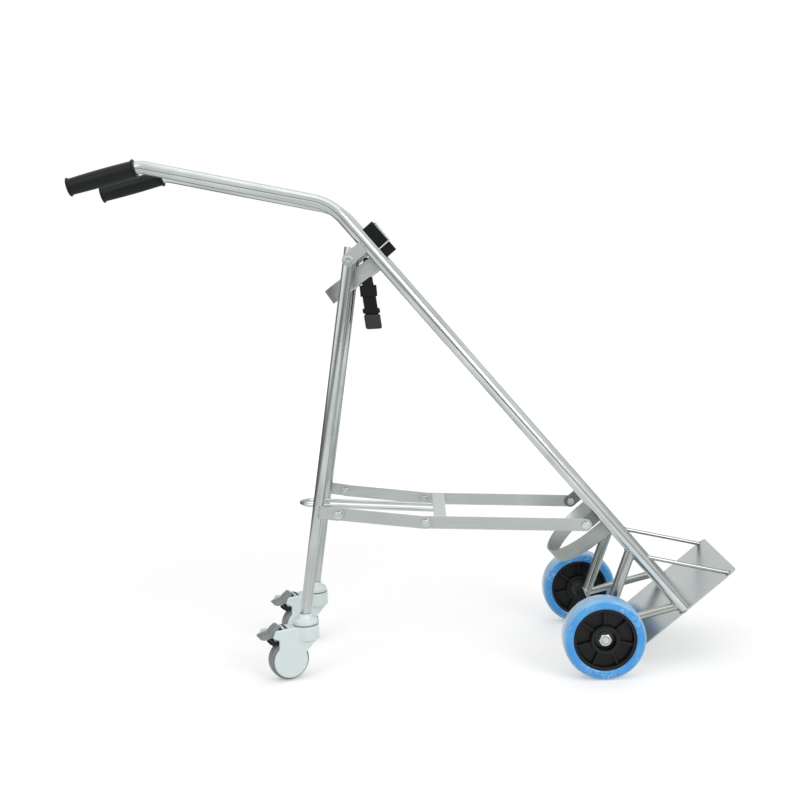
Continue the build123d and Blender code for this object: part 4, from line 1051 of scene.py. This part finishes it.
head_low = 0.060
head_high = 0.1047
head_taper = 0.024
head_toe = 0.0004
head_wide = 0.0271
head_cheek = 0.0186
cheek_edge_levels = [0.052, 0.079]
cheek_edge_places = [-0.007, 0.018]
cheek_fade = 0.3
cheek_least = 0.3
head_inner = 0.0152
head_front = 0.003
head_blend = 0.003
head_round = 0.0016
head_reach = radians(148)
head_crease = 60
least_sine = 0.02
head_turn = np.linspace(-head_reach, head_reach, 121)
head_level = np.linspace(head_low, head_high - head_round, 48)[:, None]
head_arc = np.linspace(0, pi / 2, 6)[:, None]
head_levels = np.vstack([head_level, head_high - head_round + head_round * np.sin(head_arc)])
head_outer = head_radius(head_turn, head_levels)
head_outer[len(head_level):] -= head_round * (1 - np.cos(head_arc))
head_ahead = head_front / np.maximum(np.cos(head_turn), least_sine)
head_core = np.minimum(
    head_inner / np.maximum(np.abs(np.sin(head_turn)), least_sine),
    np.where(np.abs(head_turn) < pi / 2 - least_sine, head_ahead, 1.0),
)
head_core = np.minimum(head_core, 0.92 * head_outer)
head_loop = np.hstack([head_outer, head_core[:, ::-1], head_outer[:, :1]])
head_shut = np.hstack([head_core, head_core[:, ::-1], head_core[:, :1]])
head_loop = np.vstack([head_shut[:1], head_loop, head_shut[-1:]])[..., None]
head_levels = np.vstack([head_levels[:1], head_levels, head_levels[-1:]])[..., None]
head_turns = np.concatenate([head_turn, head_turn[::-1], head_turn[:1]])[:, None]
head_spoke = np.cos(head_turns) * -trail_run + np.sin(head_turns) * caster_axis
head_grid = swivel + head_levels * z_axis + head_loop * head_spoke
make_pair("caster_head", [head_grid], white_plastic, leg_y, "*_caster", crease=head_crease)

# Caster axles: plain plated steel pins across the housings, pressed in from one side. The caster wheels run
# on them, and they show from nowhere outside.
for side in outward:
    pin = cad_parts[f"{side}_caster_axle"]
    pin.material_slots[0].material = zinc

# Caster wheels: grey rubber tyres, 80 mm across, on pale grey plastic cores with a dished face and a boss.
# They run behind the swivels, so that the casters trail.
caster_trail = 0.038
caster_radius = 0.040
caster_crown = 0.0010
caster_tyre_half = 0.013
caster_tyre_bore = 0.031
caster_core_half = 0.012
caster_core_bore = 0.0042
caster_dish = 0.005
caster_tyre_side = [
    (caster_tyre_half - 0.001, caster_tyre_bore),
    (caster_tyre_half, caster_tyre_bore + 0.002),
    (caster_tyre_half, caster_radius - caster_crown),
]
caster_core_side = [
    (caster_core_half, caster_core_bore),
    (caster_core_half, 0.010),
    (caster_core_half - caster_dish, 0.012),
    (caster_core_half - caster_dish, 0.026),
    (caster_core_half, 0.028),
    (caster_core_half, caster_tyre_bore),
]
caster_tyre_corners = mirrored(caster_tyre_side, [(0, caster_radius)])
caster_tyre_profile = bent_path(caster_tyre_corners, [0.001, 0.0045, 0.06, 0.0045, 0.001], 8)
caster_core_profile = bent_path(mirrored(caster_core_side), [0.0008] * 10, 4)
grey_rubber = moulded_finish(
    "grey_tyre", (0.20, 0.215, 0.215), 0.55, 900.0, 0.00012, wear=(0.25, 0.265, 0.265)
)
grey_plastic = moulded_finish(
    "grey_plastic", (0.225, 0.25, 0.25), 0.42, 800.0, 0.0001, wear=(0.185, 0.205, 0.205)
)
caster_parts = {
    "caster_tyre": (caster_tyre_profile, grey_rubber, "grey_tyre"),
    "caster_core": (caster_core_profile, grey_plastic, "grey_plastic"),
}
caster_centre = swivel + caster_radius * z_axis + caster_trail * trail_run
for name, (profile, material, slot) in caster_parts.items():
    ring = lathe_grid(caster_centre, caster_axis, z_axis, profile, 72)
    ring = np.concatenate([ring, ring[:1]])
    make_pair(f"{name}_ring", [ring], material, leg_y, "*_caster_wheel", name)


# Brake pedals: grey nylon levers in the slots of the housings. Each has a steep arm with a raised heel and a
# wider pad with grip bars. A white release rocker is fixed to it, and a black toothed rubber block meets the
# tyre. A black piece at the rocker's front tip is painted shadow for the gap under it.
def brake_slab(name, middle, heart=None):
    """A slab of the brake between its two sides, from its outline in the side view, in millimetres."""
    slab = brake_slabs[name]
    outline = rounded_outline(0.001 * np.array(slab["corners"]), slab["round"], slab["steps"])
    return plate_grid(outline, 2 * slab["half"], slab["edge"], middle, trail_run, z_axis, heart)


pedal_trail = 0.064
pedal_height = 0.097
pad_half = 0.0148
brake_slabs = {
    "arm": {
        "corners": [
            (-9, -6), (-9.5, 9), (-7, 15.5), (-2, 17), (6, 11), (16, 2), (22, -1), (22, -5), (14, -6),
            (7, -8), (5, -14), (-3, -14), (-5, -8),
        ],
        "round": 0.0018, "steps": 6, "half": 0.0135, "edge": 0.0013,
    },
    "pad": {
        "corners": [(12, 0), (16, 3), (27, 0.5), (34.5, -3), (33.5, -6), (26, -8.5), (17, -8), (12.5, -5)],
        "round": 0.0018, "steps": 6, "half": pad_half, "edge": 0.0013,
    },
    "rocker": {
        "corners": [(-11, 8.2), (-11, 12.8), (-13.5, 12.4), (-21.5, 9.4), (-21.5, 8.2)],
        "round": 0.0009, "steps": 6, "half": 0.012, "edge": 0.0006,
    },
    "wing": {
        "corners": [(6, 2), (15, 8.5), (24, 8.5), (30, -2.5), (20, -7), (10, -6)],
        "round": 0.0016, "steps": 6, "half": 0.0018, "edge": 0.0006,
    },
    # Painted shadow: a black piece at the rocker's front tip, where there is only the shadowed gap under it.
    "stop": {
        "corners": [(-14.5, 12.3), (-15.2, 10.0), (-21.4, 8.3), (-22.3, 8.6), (-22.0, 9.9)],
        "round": 0.0005, "steps": 4, "half": 0.0123, "edge": 0.0003,
    },
}
arm_heart = np.array([0.003, 0.0])
wing_place = 0.0124
bar_count = 4
bar_first = np.array([0.0192, 0.0022])
bar_step = np.array([0.0036, -0.0010])
bar_radius = 0.0009
bar_share = 0.85
block_centre = np.array([0.0060, -0.0170])
block_size = np.array([0.0070, 0.0064])
block_teeth = 5
block_phase = radians(60)
block_tooth = 0.20
block_half = 0.012
block_edge = 0.001
pin_place = np.array([-0.0066, 0.0100])
pin_half = 0.0142
pin_radius = 0.0023
block_turn = np.linspace(0, 2 * pi, 113)
block_swell = 1 + block_tooth * np.cos(block_teeth * (block_turn - block_phase))
block_spoke = np.stack([np.cos(block_turn), np.sin(block_turn)], 1)
block_outline = block_centre + block_size * block_spoke * block_swell[:, None]
black_rubber = moulded_finish(
    "black_block", (0.006, 0.0065, 0.007), 0.5, 1200.0, 0.0001, wear=(0.012, 0.013, 0.014), gloss=0.25
)
pivot = swivel + pedal_height * z_axis + pedal_trail * trail_run
pedal_grids = [brake_slab("arm", pivot, arm_heart), brake_slab("pad", pivot)]
for bar in range(bar_count):
    bar_place = bar_first + bar * bar_step
    bar_middle = pivot + bar_place[0] * trail_run + bar_place[1] * z_axis
    bar_line = bar_middle + np.linspace(-bar_share, bar_share, 5)[:, None] * pad_half * caster_axis
    pedal_grids.append(tube_grid(bar_line, z_axis, bar_radius, 16))
rocker_grids = [brake_slab("rocker", pivot), brake_slab("wing", pivot + wing_place * caster_axis)]
pin_middle = pivot + pin_place[0] * trail_run + pin_place[1] * z_axis
pin_line = pin_middle + np.linspace(-pin_half, pin_half, 3)[:, None] * caster_axis
block_grids = [
    plate_grid(block_outline, 2 * block_half, block_edge, pivot, trail_run, z_axis),
    brake_slab("stop", pivot),
    tube_grid(pin_line, z_axis, pin_radius, 24),
]
make_pair("pedal_lever", pedal_grids, grey_plastic, leg_y, "*_brake", "brake_pedal")
make_pair("release_rocker", rocker_grids, white_plastic, leg_y, "*_brake")
make_pair("toothed_block", block_grids, black_rubber, leg_y, "*_brake", "brake_block")


# Strap belt: black polyester webbing, riveted to the left arm of the upper saddle and folded double where it
# stands in front of the rail and holds the ring.
def path_far(path):
    """The length of a line as far as each of its points."""
    return np.append(0, np.cumsum(np.linalg.norm(np.diff(path, axis=0), axis=1)))


def even_path(path, step):
    """The same line with points at about an even step, found by its length so far."""
    far = path_far(path)
    even = np.linspace(0, far[-1], int(far[-1] / step) + 2)
    return np.stack([np.interp(even, far, path[:, axis]) for axis in range(3)], 1)


def webbing_grid(path, across, width, thickness, rib=0.0019, relief=0.00022):
    """Woven webbing: a flat section with round edges carried along the path. Its faces stand out by the
    relief times the sine of the place across and the sine of the place along, each over two ribs."""
    half, thin = (width - thickness) / 2, thickness / 2
    face = np.linspace(-half, half, int(3.5 * width / rib))
    edge = np.linspace(-pi / 2, pi / 2, 7)[1:-1]
    bulge = half + thin * np.cos(edge)
    place = np.concatenate([face, bulge, face[::-1], -bulge, face[:1]])
    raised = np.concatenate([0 * face - 1, 0 * edge, 0 * face + 1, 0 * edge, [-1]])
    level = thin * np.concatenate([0 * face - 1, np.sin(edge), 0 * face + 1, -np.sin(edge), [-1]])
    weave = relief * np.sin(pi * path_far(path) / rib)[:, None] * np.sin(pi * place / rib) * raised
    return carried(path, across, np.stack([place + 0 * weave, level + weave], -1))


def webbing_finish(name, light, dark, roughness):
    """Woven polyester: yarns that alternate in tone across and along, with a soft sheen and loose fibres."""
    material, tree, shader = new_finish(name)
    place = add_node(tree, "ShaderNodeTexCoord").outputs
    yarn = {"Vector": place["UV"], "Scale": 165.0, "Distortion": 0.6, "Detail": 2.0}
    yarn = add_node(tree, "ShaderNodeTexWave", yarn).outputs[1]
    both = maths(tree, "MULTIPLY", yarn, noise(tree, place["Object"], 900.0, 3.0))
    bump = add_node(tree, "ShaderNodeBump", {"Height": both, "Strength": 0.4, "Distance": 0.0003})
    set_inputs(tree, shader, {
        "Base Color": blended(tree, both, (*dark, 1), (*light, 1)),
        "Normal": bump.outputs[0],
        "Roughness": roughness,
        "Sheen Weight": 0.04,
        "Specular IOR Level": 0.15,
    })
    return material


def on_strap(up, out, y):
    """A point given along the rail from the middle of the upper saddle, out in front of the rail, and
    across."""
    return rail_foot + (saddles["upper"]["height"] + up) * rail_up + out * rail_out + y * y_axis


ply = 0.0024
ply_outer_y = 0.10415
ply_inner_y = 0.10165
belt_low = -0.0075
belt_out = 0.0195
belt_width = 0.0325
riser_up = 0.0075
riser_width = 0.030
riser_back = -0.021
riser_front = 0.010
ring_y = 0.09835
ring_radius = 0.002
ring_low = 0.0225
ring_high = 0.0715
weave_step = 0.0006
wrap = ring_radius + ply / 2 + 0.0001
belt_corners = np.array([
    (belt_low + 0.008, ply_outer_y),
    (ring_high - 0.016, ply_outer_y),
    (ring_high - 0.004, ring_y + wrap),
    (ring_high + wrap, ring_y + wrap),
    (ring_high + wrap, ring_y - wrap),
    (ring_high - 0.010, ring_y - wrap),
    (ring_low + 0.006, ply_inner_y),
    (belt_low + 0.006, ply_inner_y),
])
belt_corners = on_strap(belt_corners[:, :1], belt_out, belt_corners[:, 1:])
belt_fold = bent_path(belt_corners, [0.02, 0.02, wrap * 0.98, wrap * 0.98, 0.03, 0.03], 8)
riser_line = np.linspace(
    on_strap(riser_up, riser_back, ply_outer_y), on_strap(riser_up, riser_front, ply_outer_y), 8
)
belt_grids = [
    webbing_grid(even_path(belt_fold, weave_step), rail_out, belt_width, ply),
    webbing_grid(even_path(riser_line, weave_step), rail_up, riser_width, ply),
]
webbing = webbing_finish("black_webbing", (0.011, 0.012, 0.0125), (0.003, 0.0035, 0.004), 0.62)
make_piece("webbing_belt", belt_grids, webbing, "frame", "strap_belt")

# Strap tail: the free end of the webbing. It hangs from the rivet with a twist at the top and leans forward a
# little on its way down.
tail_width = 0.030
tail_thickness = 0.0025
tail_corners = [
    (-0.0660, 0.1016, 0.8265),
    (-0.0715, 0.1016, 0.8060),
    (-0.0745, 0.0936, 0.7720),
    (-0.0735, 0.0936, 0.7520),
    (-0.0660, 0.0936, 0.6860),
]
tail_turn = radians(20)
twist_turn = radians(38)
twist_drop = 0.27
twist_spread = 0.16
twist_start = 0.12
tail_line = even_path(bent_path(tail_corners, [0.02, 0.03, 0.05], 10), weave_step)
tail_drop = (tail_line[0, 2] - tail_line[:, 2:]) / (tail_line[0, 2] - tail_line[-1, 2])
tail_twist = tail_turn + twist_turn * np.exp(-(((tail_drop - twist_drop) / twist_spread) ** 2))
tail_twist = tail_twist * np.clip(tail_drop / twist_start, 0, 1)
tail_across = np.cos(tail_twist) * side_point(1.0, 0.0) + np.sin(tail_twist) * y_axis
tail_grid = webbing_grid(tail_line, tail_across, tail_width, tail_thickness)
make_piece("webbing_tail", [tail_grid], webbing, "frame", "strap_tail")

# Strap keepers: two flat loops of webbing round the tail, sewn shut, and a moulded black tab that closes the
# tail's end.
keeper_half = 0.0175
keeper_depth = 0.0038
keeper_wall = 0.0022
keeper_round = 0.0028
keeper_step = 0.0008
keepers = {"upper": {"drop": 0.50, "length": 0.024}, "lower": {"drop": 0.80, "length": 0.0105}}
keeper_ring = rounded_outline(box_corners(keeper_half, keeper_depth), keeper_round, 7)
keeper_grids = []
for keeper in keepers.values():
    spot = int(keeper["drop"] * (len(tail_line) - 1))
    down = unit(tail_line[spot + 3] - tail_line[spot - 3])
    keeper_out = np.cross(down, tail_across[spot])
    keeper_line = tail_line[spot] + keeper_ring[:, :1] * tail_across[spot] + keeper_ring[:, 1:] * keeper_out
    keeper_line = even_path(keeper_line, keeper_step)
    keeper_grids.append(webbing_grid(keeper_line, down, keeper["length"], keeper_wall))
make_piece("webbing_keepers", keeper_grids, webbing, "frame", "strap_keepers")
tab_half = 0.031 / 2
tab_below = 0.010
tab_edge = 0.0022
tab_rounds = np.array([0.005, 0.005, 0.0026, 0.0026])
tab_down = unit(tail_line[-1] - tail_line[-8])
tab_centre = tail_line[-1] - (tab_half - tab_below) * tab_down
tab_outline = rounded_outline(box_corners(tab_half, keeper_half), tab_rounds)
tab_grid = plate_grid(tab_outline, 2 * keeper_depth, tab_edge, tab_centre, tab_down, tail_across[-1])
tab_plastic = moulded_finish(
    "black_tab", (0.014, 0.015, 0.016), 0.4, 900.0, 0.0001, wear=(0.026, 0.027, 0.029), gloss=0.3
)
make_piece("strap_end_tab", [tab_grid], tab_plastic, "frame")

# Strap ring: a rectangular ring of 4 mm plated wire, bent and butted. The webbing is folded through it, so
# that it stands at the front of the left rail.
ring_back = 0.0005
ring_front = 0.0385
ring_bend = 0.005
ring_corners = [
    on_strap(ring_low, ring_back, ring_y),
    on_strap(ring_low, ring_front, ring_y),
    on_strap(ring_high, ring_front, ring_y),
    on_strap(ring_high, ring_back, ring_y),
]
ring_grid = tube_grid(rounded_outline(ring_corners, ring_bend, 8), y_axis, ring_radius, 20)
make_piece("wire_ring", [ring_grid], zinc, "frame", "strap_ring")

# Strap rivet: a steel rivet with a domed head at both ends, closed through the tail, the belt and the arm of
# the saddle.
rivet_place = side_point(-0.05799, 0.817082) + 0.1044 * y_axis
rivet_side = [(0.0061, 0), (0.0059, 0.0028), (0.0041, 0.005), (0.0041, 0.0025)]
rivet_profile = bent_path(mirrored(rivet_side), [0.003, 0.0008, 0.0002, 0.0002, 0.0008, 0.003], 5)
rivet_grid = lathe_grid(rivet_place, y_axis, z_axis, rivet_profile, 36)
make_piece("domed_rivet", [rivet_grid], zinc, "frame", "strap_rivet")


# Welds: rippled beads laid by hand along the joints of the tubes, rods and bars, left brown and blue by
# the heat.
def meeting_line(start, run, radius, host, host_run, host_radius, steps=72):
    """Where one tube runs into another: on each line along the first one's surface, the nearest point that
    lies at the host's radius from the host's axis. Also the way out from the first tube there."""
    turn = np.linspace(0, 2 * pi, steps + 1)[:, None]
    spoke = np.cos(turn) * y_axis + np.sin(turn) * np.cross(run, y_axis)
    line = start + radius * spoke
    gap = (line - host) - ((line - host) @ host_run)[:, None] * host_run
    slope = run - (run @ host_run) * host_run
    square, half, rest = slope @ slope, gap @ slope, (gap**2).sum(1) - host_radius**2
    far = (-half - np.sqrt(np.maximum(half**2 - square * rest, 0))) / square
    return line + far[:, None] * run, spoke


def bead_grid(line, across, size):
    """A weld bead: a rod along the joint whose radius rises and falls by a twelfth at each ripple, and by an
    eighth over several of them."""
    line = even_path(line, bead_step)
    share = np.linspace(0, 1, len(line))
    far = share * len(line) * bead_step
    whole = np.linspace(0, 1, len(across))
    across = np.stack([np.interp(share, whole, across[:, axis]) for axis in range(3)], 1)
    ripple = 1 + np.cos(2 * pi * far / 0.0018) / 12 + np.sin(2 * pi * far / 0.013) / 8
    return tube_grid(line, across, size * ripple, 14)


def straight_bead(middle, along, half, across):
    """A thin bead on a straight joint, from its middle to half its length both ways."""
    line = middle + np.linspace(-half, half, 9)[:, None] * along
    return bead_grid(line, np.broadcast_to(across, line.shape), seam)


weld_streaks = (160, 160, 160)
weld_steel = steel_finish(
    "heat_tinted_weld", weld_streaks, (0.50, 0.49, 0.47), (0.24, 0.20, 0.17), (0.26, 0.44), "Object"
)
bead = 0.0017
seam = 0.0011
bead_step = 0.0005
lug_welds = {
    "hinge_plate": {"bolt": hinge, "reach": 0.0404, "half": 0.012, "y": 0.1322},
    "stay_tab": {"bolt": stay_pivot, "reach": 0.0273, "half": 0.0125, "y": 0.1166},
}
saddle_weld = {"edges": (-0.0045, 0.0045), "half": 0.014, "y": 0.1088}
leg_weld = {"reach": 0.0028, "half": 0.012, "y": 0.1275}
cross_weld = {"drop": 0.0017, "half": 0.011, "y": 0.1166}
weld_grids = {"frame": [], "leg_frame": [], "long_stay": []}
weld_turn = np.linspace(0, 2 * pi, 73)[:, None]
foot_spoke = np.cos(weld_turn) * rail_out + np.sin(weld_turn) * y_axis
rod_run = unit(rod_high - rod_low)
rod_spoke = np.cos(weld_turn) * y_axis + np.sin(weld_turn) * np.cross(rod_run, y_axis)
for out in outward.values():
    foot = rail_foot + rail_y * out
    rod_end = rod_low + rail_y * out
    on_rail = (foot, rail_up, rail_radius)
    on_axle = (axle_centre, y_axis, axle_tube_radius)
    rod_rim = rod_end + toe_rod_radius * rod_spoke
    rod_rim = rod_rim - ((rod_rim - rail_foot) @ rail_up / (rod_run @ rail_up))[:, None] * rod_run
    frame_welds = weld_grids["frame"]
    frame_welds.append(bead_grid(foot + rail_radius * foot_spoke, foot_spoke, bead))
    frame_welds.append(bead_grid(*meeting_line(rod_end, rod_run, toe_rod_radius, *on_rail), seam))
    frame_welds.append(bead_grid(rod_rim, rod_spoke, seam))
    for strut in struts.values():
        low = side_point(*strut["low"]) + rail_y * out
        high = side_point(*strut["high"]) + rail_y * out
        run = unit(high - low)
        frame_welds.append(bead_grid(*meeting_line(low, run, strut["radius"], *on_rail), bead))
        frame_welds.append(bead_grid(*meeting_line(high, -run, strut["radius"], *on_axle), bead))
    for weld in lug_welds.values():
        joint = weld["bolt"] + weld["reach"] * rail_out + weld["y"] * out
        frame_welds.append(straight_bead(joint, rail_up, weld["half"], out))
    for saddle in saddles.values():
        for edge in saddle_weld["edges"]:
            joint = rail_foot + saddle["height"] * rail_up + edge * rail_out + saddle_weld["y"] * out
            frame_welds.append(straight_bead(joint, rail_up, saddle_weld["half"], rail_out))
    joint = leg_at_bolt - leg_weld["reach"] * leg_tab_run + leg_weld["y"] * out
    weld_grids["leg_frame"].append(straight_bead(joint, leg_down, leg_weld["half"], out))
    joint = cross_centre - cross_weld["drop"] * stay_up + cross_weld["y"] * out
    weld_grids["long_stay"].append(straight_bead(joint, stay_run, cross_weld["half"], stay_up))
for body, grids in weld_grids.items():
    make_piece(f"{body}_welds", grids, weld_steel, body)
